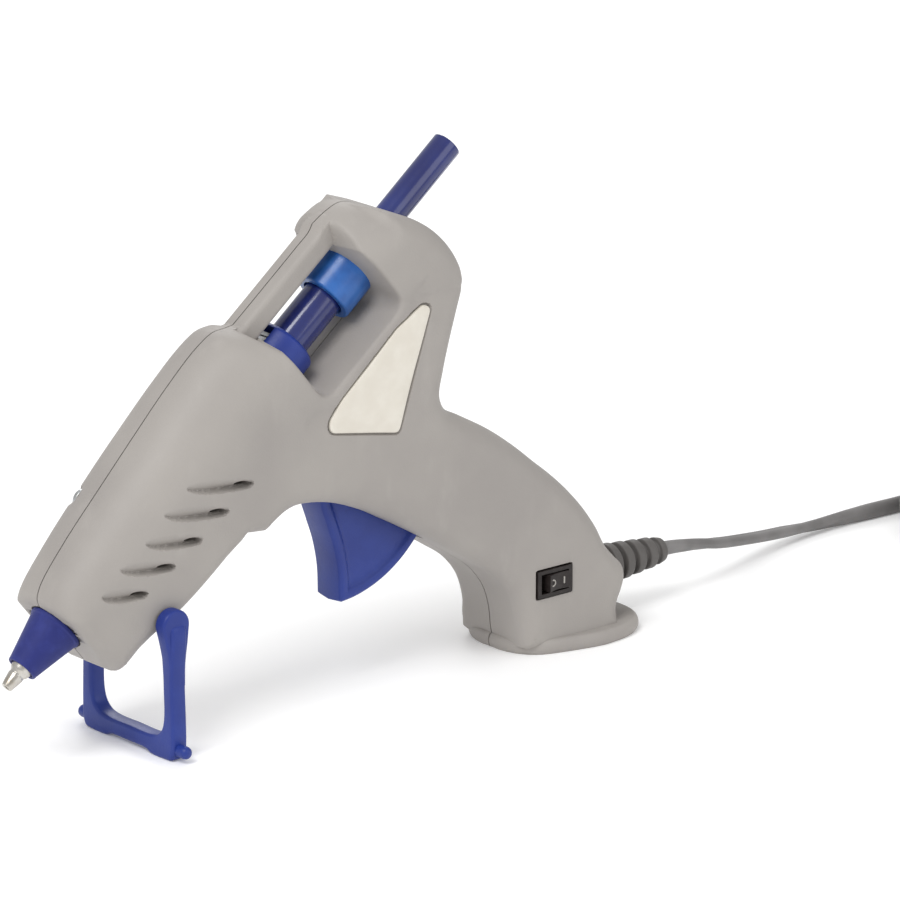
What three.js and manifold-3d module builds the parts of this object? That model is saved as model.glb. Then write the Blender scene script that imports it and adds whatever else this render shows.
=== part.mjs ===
// Compact hobby glue gun for 7 mm sticks, standing on its wire-style bail and the foot of its grip.
// Millimetres. +X runs from the nozzle side to the cord side, +Z is up, and the two housing halves
// meet on the plane Y = 0. The barrel pieces live in a tilted frame: its x is the distance from the
// nozzle tip along the glue stick, and its z is the height above the stick's centre line.

import * as THREE from 'three';
import { mergeVertices } from 'three/addons/utils/BufferGeometryUtils.js';
import Module from 'manifold-3d';

const wasm = await Module();
wasm.setup();

// ---- driving dimensions ------------------------------------------------------------------------

const stickDiameter = 7;
const stickFront = 64;
const stickEnd = 164;
const barrelPitch = THREE.MathUtils.degToRad(39);
const nozzleTip = { x: -37.1, z: 20.9 };

const bodyHalfWidth = 14.5;
const noseHalfWidth = bodyHalfWidth - 3.5;
const gripHalfWidth = bodyHalfWidth - 1.5;
const sideRound = 4;
const wall = 2.2;
const halfGap = 0.15;
const clearance = 0.3;

const noseStart = 18;
const bellyDepth = 16;

const stripSides = 8;
const roundSides = 20;

const boreRadius = stickDiameter / 2 + 0.4;
const chamberRadius = boreRadius + 1.7;
const chamberFront = 21;
const chamberRear = 60;
const sleeveRadius = chamberRadius + 0.7;
const spigotRadius = boreRadius + 1;
const spigotEnd = 66;
const inletEnd = 71;
const inletRadius = boreRadius + 2.7;

const carriageRadius = boreRadius + 3.1;
const carriageRear = 103;
const flangeFront = 88;
const carriageTubeFront = 81;
const carriageTubeRadius = boreRadius + 1.1;
const springRib = 72.4;
const ribThickness = 1.8;

const barHalfWidth = 3.6;
const barInner = carriageRadius + 2.8;
const barOuter = barInner + 5.2;
const windowFront = 97;
const windowRear = 125;
const windowFloor = -carriageRadius - 1;

const guideRadius = boreRadius + 2.5;
const guideFront = 116.5;
const guideRear = 135;

const triggerPivot = { x: 53, z: 54.5 };
const triggerRadius = 31.6;
const triggerHalfWidth = 4.6;
const hubRadius = 4;
const pinRadius = 2;
const pinHalfLength = bodyHalfWidth - 3.1;
const armInner = carriageRadius + 0.4;
const armOuter = armInner + 1.5;
const armLength = 35;
const trunnion = { s: 90.5, radius: 1.5, reach: armOuter + clearance };

const noseEnd = 54;
const standPivot = { s: 34.2, p: -13.6 };
const standPinRadius = 1.6;
const noseSpread = (bodyHalfWidth - noseHalfWidth) * (standPivot.s - noseStart) / (noseEnd - noseStart);
const legInner = noseHalfWidth + noseSpread + 2 * clearance;
const legThickness = 3.4;
const legWidth = 4;
const crossbarHeight = 4.8;

const footLength = 43.5;
const footFront = 98.5;
const footThickness = 4.5;
const footFrontHalf = 14;
const footHalf = 17;

const switchCentre = { x: 112.2, z: 17.5 };
const switchWidth = 10.8;
const switchHeight = 6.8;
const cordHeight = 12.9;
const cordRadius = 1.9;
const reliefRoot = 138.7;
const reliefEnd = 157;
const collarRadius = 4.6;
const neckRadius = 3;
const collarSeat = reliefRoot - wall - 0.1;

const coilMiddle = 27;
const coilWidth = 13;
const coilHeight = 9.6;

// ---- materials ---------------------------------------------------------------------------------

function finish(red, green, blue, roughness, metalness = 0) {
  const material = new THREE.MeshStandardMaterial({ roughness, metalness });
  material.color.setRGB(red, green, blue, THREE.SRGBColorSpace);
  return material;
}

const finishes = {
  greyShell: () => finish(0.68, 0.66, 0.63, 0.55),
  bluePlastic: () => finish(0.2, 0.27, 0.58, 0.4),
  brightBlue: () => finish(0.14, 0.37, 0.65, 0.35),
  glue: () => finish(0.11, 0.13, 0.36, 0.25),
  silicone: () => finish(0.22, 0.24, 0.52, 0.6),
  steel: () => finish(0.7, 0.7, 0.7, 0.3, 1),
  aluminium: () => finish(0.75, 0.76, 0.78, 0.4, 1),
  ceramic: () => finish(0.86, 0.84, 0.78, 0.7),
  labelPlate: () => finish(0.87, 0.85, 0.81, 0.4),
  blackPlastic: () => finish(0.12, 0.1, 0.1, 0.45),
  greyRubber: () => finish(0.4, 0.39, 0.38, 0.6),
  whiteWire: () => finish(0.9, 0.9, 0.88, 0.6),
};

// ---- solids and frames -------------------------------------------------------------------------

const gun = new THREE.Group();
const barrel = new THREE.Group();
barrel.position.set(nozzleTip.x, 0, nozzleTip.z);
barrel.rotation.y = -barrelPitch;
barrel.updateMatrix();
gun.add(barrel);

// A point s along the barrel axis and p above it, as x and z of the gun.
function at(s, p) {
  const x = nozzleTip.x + s * Math.cos(barrelPitch) - p * Math.sin(barrelPitch);
  const z = nozzleTip.z + s * Math.sin(barrelPitch) + p * Math.cos(barrelPitch);
  return new THREE.Vector2(x, z);
}

function solid(geometry) {
  const bare = geometry.clone();
  bare.deleteAttribute('normal');
  bare.deleteAttribute('uv');
  const merged = mergeVertices(bare, 1e-4);
  const index = merged.index.array;
  const kept = [];
  for (let i = 0; i < index.length; i += 3) {
    const [a, b, c] = [index[i], index[i + 1], index[i + 2]];
    if (a !== b && b !== c && c !== a) kept.push(a, b, c);
  }
  const vertProperties = new Float32Array(merged.attributes.position.array);
  return new wasm.Manifold(new wasm.Mesh({ numProp: 3, vertProperties, triVerts: new Uint32Array(kept) }));
}

function geometryOf(manifold) {
  const mesh = manifold.getMesh();
  const geometry = new THREE.BufferGeometry();
  geometry.setAttribute('position', new THREE.BufferAttribute(new Float32Array(mesh.vertProperties), 3));
  geometry.setIndex(new THREE.BufferAttribute(new Uint32Array(mesh.triVerts), 1));
  return geometry;
}

function place(parent, name, shape, material) {
  const geometry = shape.isBufferGeometry ? shape : geometryOf(shape);
  const mesh = new THREE.Mesh(geometry, material);
  mesh.name = name;
  parent.add(mesh);
  return mesh;
}

function shapeOf(points) {
  return new THREE.Shape(points.map(([x, y]) => new THREE.Vector2(x, y)));
}

// An x-z outline carried along Y, from y0 to y1.
function slab(shape, y0, y1, curveSegments = 6) {
  const geometry = new THREE.ExtrudeGeometry(shape, { depth: y1 - y0, bevelEnabled: false, curveSegments });
  geometry.rotateX(Math.PI / 2);
  geometry.translate(0, y1, 0);
  return geometry;
}

// An x-y outline carried up Z, from z0 to z1.
function plate(shape, z0, z1, curveSegments = 8) {
  const geometry = new THREE.ExtrudeGeometry(shape, { depth: z1 - z0, bevelEnabled: false, curveSegments });
  geometry.translate(0, 0, z0);
  return geometry;
}

// A turned piece: [radius, station] pairs revolved about the X axis.
function turned(pairs, sides = roundSides) {
  const profile = pairs.map(([radius, station]) => new THREE.Vector2(radius, station));
  if (pairs[0][0] > 0) profile.push(profile[0].clone());
  const area = THREE.ShapeUtils.area(profile);
  if (area < 0) profile.reverse();
  const geometry = new THREE.LatheGeometry(profile, sides);
  geometry.rotateZ(-Math.PI / 2);
  return geometry;
}

function rodY(radius, y0, y1, x, z, sides = roundSides) {
  const geometry = new THREE.CylinderGeometry(radius, radius, y1 - y0, sides);
  geometry.translate(x, (y0 + y1) / 2, z);
  return geometry;
}

function rodZ(radius, z0, z1, x, y, sides = roundSides) {
  const geometry = new THREE.CylinderGeometry(radius, radius, z1 - z0, sides);
  geometry.rotateX(Math.PI / 2);
  geometry.translate(x, y, (z0 + z1) / 2);
  return geometry;
}

function block(x0, x1, y0, y1, z0, z1) {
  const geometry = new THREE.BoxGeometry(x1 - x0, y1 - y0, z1 - z0);
  geometry.translate((x0 + x1) / 2, (y0 + y1) / 2, (z0 + z1) / 2);
  return geometry;
}

function inGun(geometry) {
  return solid(geometry.clone().applyMatrix4(barrel.matrix));
}

function tube(points, radius, steps, sides = stripSides) {
  const curve = new THREE.CatmullRomCurve3(points.map(([x, y, z]) => new THREE.Vector3(x, y, z)));
  const section = new THREE.Shape();
  section.absarc(0, 0, radius, 0, 2 * Math.PI);
  const round = new THREE.Shape(section.getSpacedPoints(sides).slice(0, sides));
  return new THREE.ExtrudeGeometry(round, { steps, extrudePath: curve, curveSegments: 1 });
}

// ---- housing -----------------------------------------------------------------------------------

// The side view of the closed housing, from the nose's lower corner round over the grip.
function housingOutline() {
  const top = [at(noseStart, -12.6), at(noseStart, 7), at(20.5, 9.6), at(32, 12.9), at(46, 14.9)];
  top.push(at(60, 16.8), at(74, 18.4), at(86, 18.9), at(93, 17.4), at(windowFront, barOuter));
  top.push(at(windowRear - 3, barOuter), at(windowRear - 0.5, barOuter + 1.4));
  const rear = [[53, 115.8], [57.5, 117.8], [66, 115.8], [73.5, 112.3], [79.3, 108.4], [83.4, 103.8]];
  rear.push([85.8, 98.8], [86.1, 94.3], [84.7, 89.6], [82.6, 82.5], [80, 74.5], [79.2, 69], [81.2, 65.2]);
  rear.push([86.2, 62.3], [95.6, 57], [103.3, 51.6], [109.4, 46.6], [114.6, 42.4], [119.4, 38], [124, 33]);
  rear.push([128, 27.6], [131.2, 22], [134.6, 18.6], [137.8, 16.6], [138.7, 13], [137.8, 9.4], [135, 7]);
  rear.push([133.5, 1.5], [100.4, 1.5]);
  const front = [[99.6, 6], [100.7, 11], [99.8, 16], [96, 21.5], [90, 26], [83, 30.4], [75, 35.3]];
  front.push([66, 40.5], [56, 45.8], [46, 49.6], [36, 51.2], [30.5, 50.4], [26.2, 47.6]);
  const belly = [at(63.2, -bellyDepth), at(21.4, -bellyDepth)];
  const points = [...top, ...rear.map(([x, z]) => new THREE.Vector2(x, z))];
  points.push(...front.map(([x, z]) => new THREE.Vector2(x, z)), ...belly);
  return new THREE.Shape(points);
}

// The plan of the nose, narrowing towards the nozzle, as x and y of the barrel.
function nosePlan(inset) {
  const nose = noseHalfWidth - inset;
  const full = bodyHalfWidth + 1 - inset;
  const wide = full - 1;
  const side = [[0, nose], [noseStart, nose], [noseEnd, wide], [70, full], [240, full]];
  return shapeOf([...side, ...side.map(([s, y]) => [s, -y]).reverse()]);
}

// The plan of the grip, narrowing from the body to the foot, as x and y of the gun.
function gripPlan(inset) {
  const wide = bodyHalfWidth + 1 - inset;
  const grip = gripHalfWidth - inset;
  const side = [[-120, wide], [70, wide], [80, wide - 1], [104, grip], [240, grip]];
  return shapeOf([...side, ...side.map(([x, y]) => [x, -y]).reverse()]);
}

// The arched cross-section of the barrel, as y and z of the barrel, carried back to the window.
function archSection(inset) {
  const side = [[bodyHalfWidth + 1, -120], [bodyHalfWidth + 1, 5], [11.6, 12.4], [6.5, 17.2], [0, 19.6]];
  const half = side.map(([y, p]) => [Math.max(0, y - inset), p - (p > 0 ? inset : 0)]);
  const mirrored = half.slice(0, -1).map(([y, p]) => [-y, p]).reverse();
  return shapeOf([...half, ...mirrored]);
}

function housingBody(inset) {
  const settings = { depth: 2 * (bodyHalfWidth - sideRound), curveSegments: 1, bevelSegments: 3 };
  settings.bevelThickness = sideRound - inset;
  settings.bevelSize = sideRound - inset;
  settings.bevelOffset = -sideRound;
  const geometry = new THREE.ExtrudeGeometry(housingOutline(), settings);
  geometry.rotateX(Math.PI / 2);
  geometry.translate(0, bodyHalfWidth - sideRound, 0);
  const nose = inGun(plate(nosePlan(inset), -150, 60));
  const grip = solid(plate(gripPlan(inset), -20, 160));
  const arch = new THREE.ExtrudeGeometry(archSection(inset), { depth: 96, bevelEnabled: false });
  arch.rotateZ(Math.PI / 2);
  arch.rotateY(Math.PI / 2);
  const archedBarrel = inGun(arch).add(inGun(block(95.9, 300, -40, 40, -300, 300)));
  return solid(geometry).intersect(nose).intersect(grip).intersect(archedBarrel);
}

const outerBody = housingBody(0);
const innerBody = housingBody(wall);
const midWall = housingBody(wall / 2);

// Window frame and carrying bar: the window's walls and the bar above it stay solid.
function windowShape(grow) {
  const low = windowFloor - grow;
  const high = barInner + grow;
  const front = windowFront - grow;
  const back = windowRear + grow;
  const cut = 3;
  const points = [[front + cut, low], [back - cut, low], [back, low + cut], [back, high], [front, high]];
  points.push([front, low + cut]);
  return shapeOf(points);
}

const windowThrough = inGun(slab(windowShape(0), -30, 30));
const windowFrame = inGun(slab(windowShape(wall), -30, 30));
const barBlock = inGun(block(windowFront - wall, windowRear + wall, -30, 30, barInner - 1, 40));
const barSide = shapeOf([[windowFront, barInner - 1], [windowRear - 1, barInner - 1], [windowRear - 1, 40],
  [windowFront, 40]]);
const barRelief = inGun(slab(barSide, barHalfWidth, 30)).add(inGun(slab(barSide, -30, -barHalfWidth)));

// Foot plate: straight front, sides that spread a little, and a half-ellipse behind.
function footShape() {
  const arcCentre = footFront + footLength - 21;
  const shape = new THREE.Shape();
  shape.moveTo(footFront + 3, footFrontHalf);
  shape.lineTo(footFront, footFrontHalf - 4);
  shape.lineTo(footFront, 4 - footFrontHalf);
  shape.lineTo(footFront + 3, -footFrontHalf);
  shape.absellipse(arcCentre, 0, 21, footHalf, -Math.PI / 2, Math.PI / 2, false);
  return shape;
}

// Screws: [x, z] of each boss. Heads sit in the right half, threads bite in the left half.
const screwHead = { radius: 2.7, thickness: 1.8, seat: bodyHalfWidth - 8.5 };
const screwShank = { radius: 1.2, end: 6.5 - bodyHalfWidth };
const noseBoss = at(44, chamberRadius + 5.6);
const rearBoss = at(134, -guideRadius - 4.1);
const wireBoss = at(76.74, -chamberRadius - 11.5);
const bosses = [noseBoss, wireBoss, rearBoss].map(({ x, y }) => [x, y]).concat([[93, 38], [120, 28]]);
const recessRadius = screwHead.radius + clearance;
const bossWall = 1.1;

// Ribs across the barrel cavity, rooted in the wall, each with a round saddle for what it carries.
function rib(station, holeRadius, floor = -9.4) {
  const web = block(station - ribThickness / 2, station + ribThickness / 2, -30, 30, floor, 30);
  return inGun(web).subtract(boreAlong(holeRadius, station - 3, station + 3)).intersect(midWall);
}

function bossFor([x, z], side) {
  const radius = side > 0 ? recessRadius + bossWall : screwShank.radius + clearance + bossWall;
  const from = side > 0 ? halfGap : -40;
  const to = side > 0 ? 40 : -halfGap;
  return solid(rodY(radius, from, to, x, z, 14)).intersect(outerBody);
}

function boreAlong(radius, from, to) {
  return inGun(turned([[0, from], [radius, from], [radius, to], [0, to]]));
}

const ventCount = 5;
const ventPitch = 8.6;
const firstVent = 31.5;
const ventTilt = THREE.MathUtils.degToRad(50);

// One slanted cooling slot, as x and z of the barrel.
function ventShape(index) {
  const middle = { s: firstVent + index * ventPitch + 2, p: -3.4 - index * 0.4 };
  const reach = 3.2;
  const half = 0.9;
  const along = new THREE.Vector2(Math.cos(ventTilt), -Math.sin(ventTilt));
  const across = new THREE.Vector2(along.y, -along.x);
  const corners = [[-reach, 0], [half - reach, -half], [reach - half, -half], [reach, 0]];
  corners.push([reach - half, half], [half - reach, half]);
  return shapeOf(corners.map(([u, v]) => [
    middle.s + u * along.x + v * across.x, middle.p + u * along.y + v * across.y]));
}

const pivotPoint = at(standPivot.s, standPivot.p);
const slotHalfWidth = triggerHalfWidth + 0.5;
const clampPost = { x: 129, y: 5.4, radius: 2.4, top: 14.6 };

function housingHalf(side) {
  const sides = side > 0 ? [halfGap, 60] : [-60, -halfGap];
  const keep = block(-200, 300, ...sides, -50, 200);
  const cavity = innerBody.subtract(windowFrame).subtract(barBlock);
  let half = outerBody.subtract(cavity);
  half = half.add(rib(24.2, chamberRadius + clearance)).add(rib(58, chamberRadius + clearance));
  half = half.add(rib(springRib, carriageTubeRadius + 0.7)).add(rib(132.6, guideRadius + clearance, -9));
  half = half.add(solid(plate(footShape(), 0, footThickness)));
  for (const boss of bosses) half = half.add(bossFor(boss, side));
  const outward = side > 0 ? [armOuter + 0.4, 30] : [-30, -armOuter - 0.4];
  half = half.add(solid(rodY(hubRadius, ...outward, triggerPivot.x, triggerPivot.z)).intersect(outerBody));
  const pivotBoss = solid(rodY(4, ...(side > 0 ? [7.5, 30] : [-30, -7.5]), pivotPoint.x, pivotPoint.y, 14));
  half = half.add(pivotBoss.intersect(outerBody));
  half = half.add(solid(rodZ(clampPost.radius, 2, clampPost.top, clampPost.x, side * clampPost.y, 12)));

  half = half.subtract(windowThrough).subtract(barRelief);
  half = half.subtract(boreAlong(sleeveRadius + clearance + 0.3, noseStart - 5, chamberFront + 1));
  half = half.subtract(boreAlong(carriageRadius + 0.5, windowFront - wall - 1, windowFront + 4));
  half = half.subtract(boreAlong(guideRadius + clearance, windowRear - 1.5, windowRear + wall + 0.6));
  half = half.subtract(boreAlong(stickDiameter / 2 + 0.8, 138, 160));
  const slotFloor = block(triggerPivot.x - 4.8, triggerPivot.x + 26.4, -slotHalfWidth, slotHalfWidth, 20,
    triggerPivot.z - 3.9);
  half = half.subtract(solid(slotFloor));
  const pinReach = pinHalfLength + 0.4;
  const pinHole = rodY(pinRadius + clearance, -pinReach, pinReach, triggerPivot.x, triggerPivot.z);
  half = half.subtract(solid(pinHole));
  half = half.subtract(solid(rodY(standPinRadius + clearance, -30, 30, pivotPoint.x, pivotPoint.y, 14)));
  const ventCut = side > 0 ? [6, 30] : [-30, -6];
  for (let i = 0; i < ventCount; i += 1) half = half.subtract(inGun(slab(ventShape(i), ...ventCut)));
  const collarBore = collarRadius + clearance;
  const neckBore = neckRadius + clearance;
  const cordBore = turned([[0, 130], [collarBore, 130], [collarBore, collarSeat], [neckBore, collarSeat],
    [neckBore, 145], [0, 145]]);
  cordBore.translate(0, 0, cordHeight);
  half = half.subtract(solid(cordBore));
  const postHole = rodZ(0.9 + clearance, 6, 20, clampPost.x, side * clampPost.y, 10);
  half = half.subtract(solid(postHole));
  for (const [x, z] of bosses) {
    half = half.subtract(solid(rodY(screwShank.radius + clearance, screwShank.end - 0.6, 20, x, z, 12)));
    half = half.subtract(solid(rodY(recessRadius, screwHead.seat, 30, x, z, 14)));
  }
  half = half.subtract(labelRecess(side));
  if (side < 0) {
    const { x, z } = switchCentre;
    const [w, h] = [switchWidth / 2 + clearance, switchHeight / 2 + clearance];
    half = half.subtract(solid(block(x - w, x + w, -30, -9, z - h, z + h)));
  }
  return half.intersect(solid(keep));
}

// Label plate: a rounded four-sided plate in a shallow recess of each half.
const labelDepth = 0.9;
const labelThickness = 0.6;

function labelShape(grow) {
  const corners = [[73.2, 91.2], [63.8, 63.4], [43.9, 67.2], [47.3, 74.2], [63.6, 88.2], [71, 92.4]];
  const middle = corners.reduce(([x, z], [cx, cz]) => [x + cx / 6, z + cz / 6], [0, 0]);
  return shapeOf(corners.map(([x, z]) => {
    const [dx, dz] = [x - middle[0], z - middle[1]];
    const stretch = 1 + grow / Math.hypot(dx, dz);
    return [middle[0] + dx * stretch, middle[1] + dz * stretch];
  }));
}

function labelRecess(side) {
  const inner = bodyHalfWidth - labelDepth;
  return solid(slab(labelShape(0.6), ...(side > 0 ? [inner, 30] : [-30, -inner])));
}

place(gun, 'left_shell', housingHalf(-1), finishes.greyShell());
place(gun, 'right_shell', housingHalf(1), finishes.greyShell());

for (const side of [-1, 1]) {
  const inner = bodyHalfWidth - labelDepth + 0.2;
  const outer = inner + labelThickness;
  const span = side > 0 ? [inner, outer] : [-outer, -inner];
  place(gun, side > 0 ? 'label_right' : 'label_left', slab(labelShape(0), ...span), finishes.labelPlate());
}

function pointedScrew(shankRadius, headRadius, headThickness, length) {
  const profile = [[0, 0], [shankRadius * 0.4, 0], [shankRadius, 2], [shankRadius, length]];
  const crown = length + headThickness;
  profile.push([headRadius, length], [headRadius, length + headThickness * 0.6], [headRadius * 0.6, crown]);
  profile.push([0, crown]);
  return turned(profile, 12);
}

bosses.forEach(([x, z], index) => {
  const seat = screwHead.seat + halfGap;
  const length = seat - screwShank.end;
  const screw = pointedScrew(screwShank.radius, screwHead.radius, screwHead.thickness, length);
  screw.rotateZ(Math.PI / 2);
  screw.translate(x, screwShank.end, z);
  place(gun, `housing_screw_${index + 1}`, screw, finishes.steel());
});

// ---- nozzle, chamber and heater ----------------------------------------------------------------

const nozzleRadius = 2.6;
const nozzleBase = chamberRadius - 1.2;
const nozzleProfile = [[0.7, 0], [1.3, 0], [2.2, 4.6], [nozzleRadius, 6.5], [nozzleRadius, 17]];
const nozzleShoulder = chamberFront - clearance;
nozzleProfile.push([nozzleBase, 17], [nozzleBase, nozzleShoulder], [3, nozzleShoulder], [3, 26], [1.9, 26]);
nozzleProfile.push([1.9, 12], [0.7, 6]);
place(barrel, 'nozzle', turned(nozzleProfile), finishes.steel());

const sleeveProfile = [[nozzleRadius + clearance, 5.6], [3.7, 5.6], [sleeveRadius, noseStart]];
sleeveProfile.push([sleeveRadius, 22.4], [chamberRadius + clearance, 22.4]);
sleeveProfile.push([chamberRadius + clearance, chamberFront - 0.5], [nozzleBase + 0.4, chamberFront - 0.5]);
sleeveProfile.push([nozzleBase + 0.4, 17 - clearance], [nozzleRadius + clearance, 17 - clearance]);
place(barrel, 'nozzle_sleeve', turned(sleeveProfile), finishes.silicone());

const chamberProfile = [[3.3, chamberFront], [chamberRadius, chamberFront], [chamberRadius, chamberRear]];
chamberProfile.push([spigotRadius, chamberRear], [spigotRadius, spigotEnd], [boreRadius, spigotEnd]);
chamberProfile.push([boreRadius, 30], [3.3, 27]);
place(barrel, 'melt_chamber', turned(chamberProfile), finishes.aluminium());

const heaterTop = -chamberRadius - 0.4;
const heater = { from: 27, to: 55, top: heaterTop, bottom: heaterTop - 2.6, half: 4.6 };
const heaterBlock = block(heater.from, heater.to, -heater.half, heater.half, heater.bottom, heater.top);
place(barrel, 'heater_element', heaterBlock, finishes.ceramic());

function heaterClip() {
  const inner = chamberRadius + 0.5;
  const strip = 0.6;
  const floor = heater.bottom - clearance;
  const outer = inner + strip;
  const band = solid(block(36, 46, -outer, outer, floor - strip, outer));
  return band.subtract(solid(block(30, 50, -inner, inner, floor, inner)));
}
place(barrel, 'heater_clip', heaterClip(), finishes.steel());

const inletFront = chamberRear + clearance;
const inletProfile = [[spigotRadius + clearance, inletFront], [inletRadius, inletFront]];
inletProfile.push([inletRadius, inletEnd - 1], [inletRadius - 1.2, inletEnd], [boreRadius, inletEnd]);
inletProfile.push([boreRadius, spigotEnd + clearance], [spigotRadius + clearance, spigotEnd + clearance]);
place(barrel, 'inlet_sleeve', turned(inletProfile), finishes.silicone());

const clampInner = inletRadius + clearance;
place(barrel, 'sleeve_clamp', turned([[clampInner, 62], [clampInner + 0.7, 62], [clampInner + 0.7, 65.4],
  [clampInner, 65.4]]), finishes.steel());

// ---- feed ----------------------------------------------------------------------------------------

const stickRadius = stickDiameter / 2;
place(barrel, 'glue_stick', turned([[0, stickFront], [stickRadius, stickFront], [stickRadius, stickEnd],
  [0, stickEnd]]), finishes.glue());

const pawlPin = { s: 99, p: boreRadius + 1.8, radius: 0.8 };
const pawlHalf = 1.9;

function feedCarriage() {
  const profile = [[boreRadius, carriageTubeFront], [carriageTubeRadius, carriageTubeFront]];
  profile.push([carriageTubeRadius, flangeFront], [carriageRadius, flangeFront], [carriageRadius, 101.6]);
  profile.push([carriageRadius - 1.4, carriageRear], [boreRadius, carriageRear]);
  let body = solid(turned(profile, 24));
  for (const [from, to] of [[5.5, trunnion.reach], [-trunnion.reach, -5.5]]) {
    body = body.add(solid(rodY(trunnion.radius, from, to, trunnion.s, 0, 14)));
  }
  body = body.subtract(solid(block(92.6, 101.2, -pawlHalf - clearance, pawlHalf + clearance, 2, 9)));
  return body.subtract(solid(rodY(pawlPin.radius + clearance, -9, 9, pawlPin.s, pawlPin.p, 12)));
}
place(barrel, 'feed_carriage', feedCarriage(), finishes.bluePlastic());

function gripPawl() {
  const profile = [[94, 0], [95.2, 0], [98.6, 0.2], [100.6, 0.7], [100.6, 2.5], [98, 3], [94.4, 1.5]];
  const outline = shapeOf(profile.map(([s, height]) => [s, boreRadius + height]));
  const arm = solid(slab(outline, -pawlHalf, pawlHalf));
  return arm.subtract(solid(rodY(pawlPin.radius + 0.25, -9, 9, pawlPin.s, pawlPin.p, 12)));
}
place(barrel, 'grip_pawl', gripPawl(), finishes.steel());
place(barrel, 'pawl_pin', rodY(pawlPin.radius, -3.6, 3.6, pawlPin.s, pawlPin.p, 12), finishes.steel());

// Compression spring round the carriage tube, between its rib and the flange.
function returnSpring() {
  const wire = 0.45;
  const middle = carriageTubeRadius + 1;
  const from = springRib + ribThickness / 2 + clearance + wire;
  const to = flangeFront - clearance - wire;
  const turns = 5;
  const points = [];
  const perTurn = 12;
  for (let i = 0; i <= turns * perTurn; i += 1) {
    const share = i / (turns * perTurn);
    const angle = 2 * Math.PI * turns * share;
    points.push([from + (to - from) * share, middle * Math.cos(angle), middle * Math.sin(angle)]);
  }
  return tube(points, wire, turns * perTurn, 6);
}
place(barrel, 'return_spring', returnSpring(), finishes.steel());

const guideProfile = [[boreRadius, guideFront + 1.5], [stickRadius + 1.4, guideFront]];
guideProfile.push([guideRadius, guideFront]);
guideProfile.push([guideRadius, windowRear + wall + 0.6], [guideRadius + 1.8, windowRear + wall + 0.9]);
guideProfile.push([guideRadius + 1.8, windowRear + wall + 2.6], [guideRadius, windowRear + wall + 2.6]);
guideProfile.push([guideRadius, guideRear], [boreRadius, guideRear]);
place(barrel, 'stick_guide', turned(guideProfile, 24), finishes.brightBlue());

// ---- trigger -----------------------------------------------------------------------------------

const triggerFrontAngle = THREE.MathUtils.degToRad(-87);
const triggerBackAngle = THREE.MathUtils.degToRad(-31);

function triggerBlade() {
  const { x, z } = triggerPivot;
  const shape = new THREE.Shape();
  shape.moveTo(x - hubRadius, z);
  const toeX = x + triggerRadius * Math.cos(triggerFrontAngle);
  const toeZ = z + triggerRadius * Math.sin(triggerFrontAngle);
  shape.quadraticCurveTo(x + 0.6, z - triggerRadius / 2, toeX, toeZ);
  shape.absarc(x, z, triggerRadius, triggerFrontAngle, triggerBackAngle, false);
  shape.lineTo(x + 3, z + 2);
  return slab(shape, -triggerHalfWidth, triggerHalfWidth, 12);
}

// Each fork arm runs from the hub to the carriage's trunnion, which slides in its open slot.
function forkArm(side) {
  const end = at(trunnion.s, 0);
  const [dx, dz] = [end.x - triggerPivot.x, end.y - triggerPivot.z];
  const reach = Math.hypot(dx, dz);
  const [ux, uz] = [dx / reach, dz / reach];
  const ways = side > 0 ? [armInner, armOuter] : [-armOuter, -armInner];
  const corner = (along, across) => [
    triggerPivot.x + ux * along - uz * across, triggerPivot.z + uz * along + ux * across];
  const arm = shapeOf([corner(0, -3.4), corner(armLength, -3), corner(armLength, 3), corner(0, 3.4)]);
  const gap = trunnion.radius + clearance;
  const floor = reach - 2.4;
  const slot = shapeOf([corner(floor, -gap), corner(60, -gap), corner(60, gap), corner(floor, gap)]);
  return solid(slab(arm, ...ways)).subtract(solid(slab(slot, -30, 30)));
}

function triggerSolid() {
  let body = solid(triggerBlade());
  body = body.add(solid(rodY(hubRadius, -armOuter, armOuter, triggerPivot.x, triggerPivot.z)));
  body = body.add(forkArm(1)).add(forkArm(-1));
  return body.subtract(solid(rodY(pinRadius + 0.05, -30, 30, triggerPivot.x, triggerPivot.z)));
}
place(gun, 'trigger', triggerSolid(), finishes.bluePlastic());
place(gun, 'trigger_pin', rodY(pinRadius, -pinHalfLength, pinHalfLength, triggerPivot.x, triggerPivot.z),
  finishes.steel());

// ---- stand -------------------------------------------------------------------------------------

const legTopRadius = 3.7;
const nubReach = 3.4;

function standSolid() {
  const { x, y: z } = pivotPoint;
  const outer = legInner + legThickness;
  const leg = shapeOf([[x - legWidth / 2, z], [x - legWidth / 2, 1.2], [x - legWidth / 2 + 1.2, 0],
    [x + legWidth / 2 - 1.2, 0], [x + legWidth / 2, 1.2], [x + legWidth / 2, z]]);
  const bar = block(x - legWidth / 2, x + legWidth / 2, -outer + 1, outer - 1, 0, crossbarHeight);
  let body = solid(bar).subtract(solid(block(x - 9, x - legWidth / 2 + 0.6, -8, 8, -1, 1)));
  for (const [from, to] of [[legInner, outer], [-outer, -legInner]]) {
    body = body.add(solid(slab(leg, from, to)));
    body = body.add(solid(rodY(legTopRadius, from, to, x, z)));
  }
  for (const [from, to] of [[legInner - 3.6, legInner + 1], [-legInner - 1, 3.6 - legInner]]) {
    body = body.add(solid(rodY(standPinRadius, from, to, x, z, 14)));
  }
  for (const [from, to] of [[outer - 1, outer + nubReach], [-outer - nubReach, 1 - outer]]) {
    body = body.add(solid(rodY(1.4, from, to, x, 2.6, 10)));
  }
  return body;
}
place(gun, 'stand', standSolid(), finishes.bluePlastic());

// ---- switch ------------------------------------------------------------------------------------

const switchFace = -gripHalfWidth - 0.3;
const rockerAxisY = switchFace + 3.6;
const pocket = { half: 4.2, high: 2.4, depth: 4.4 };

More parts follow.
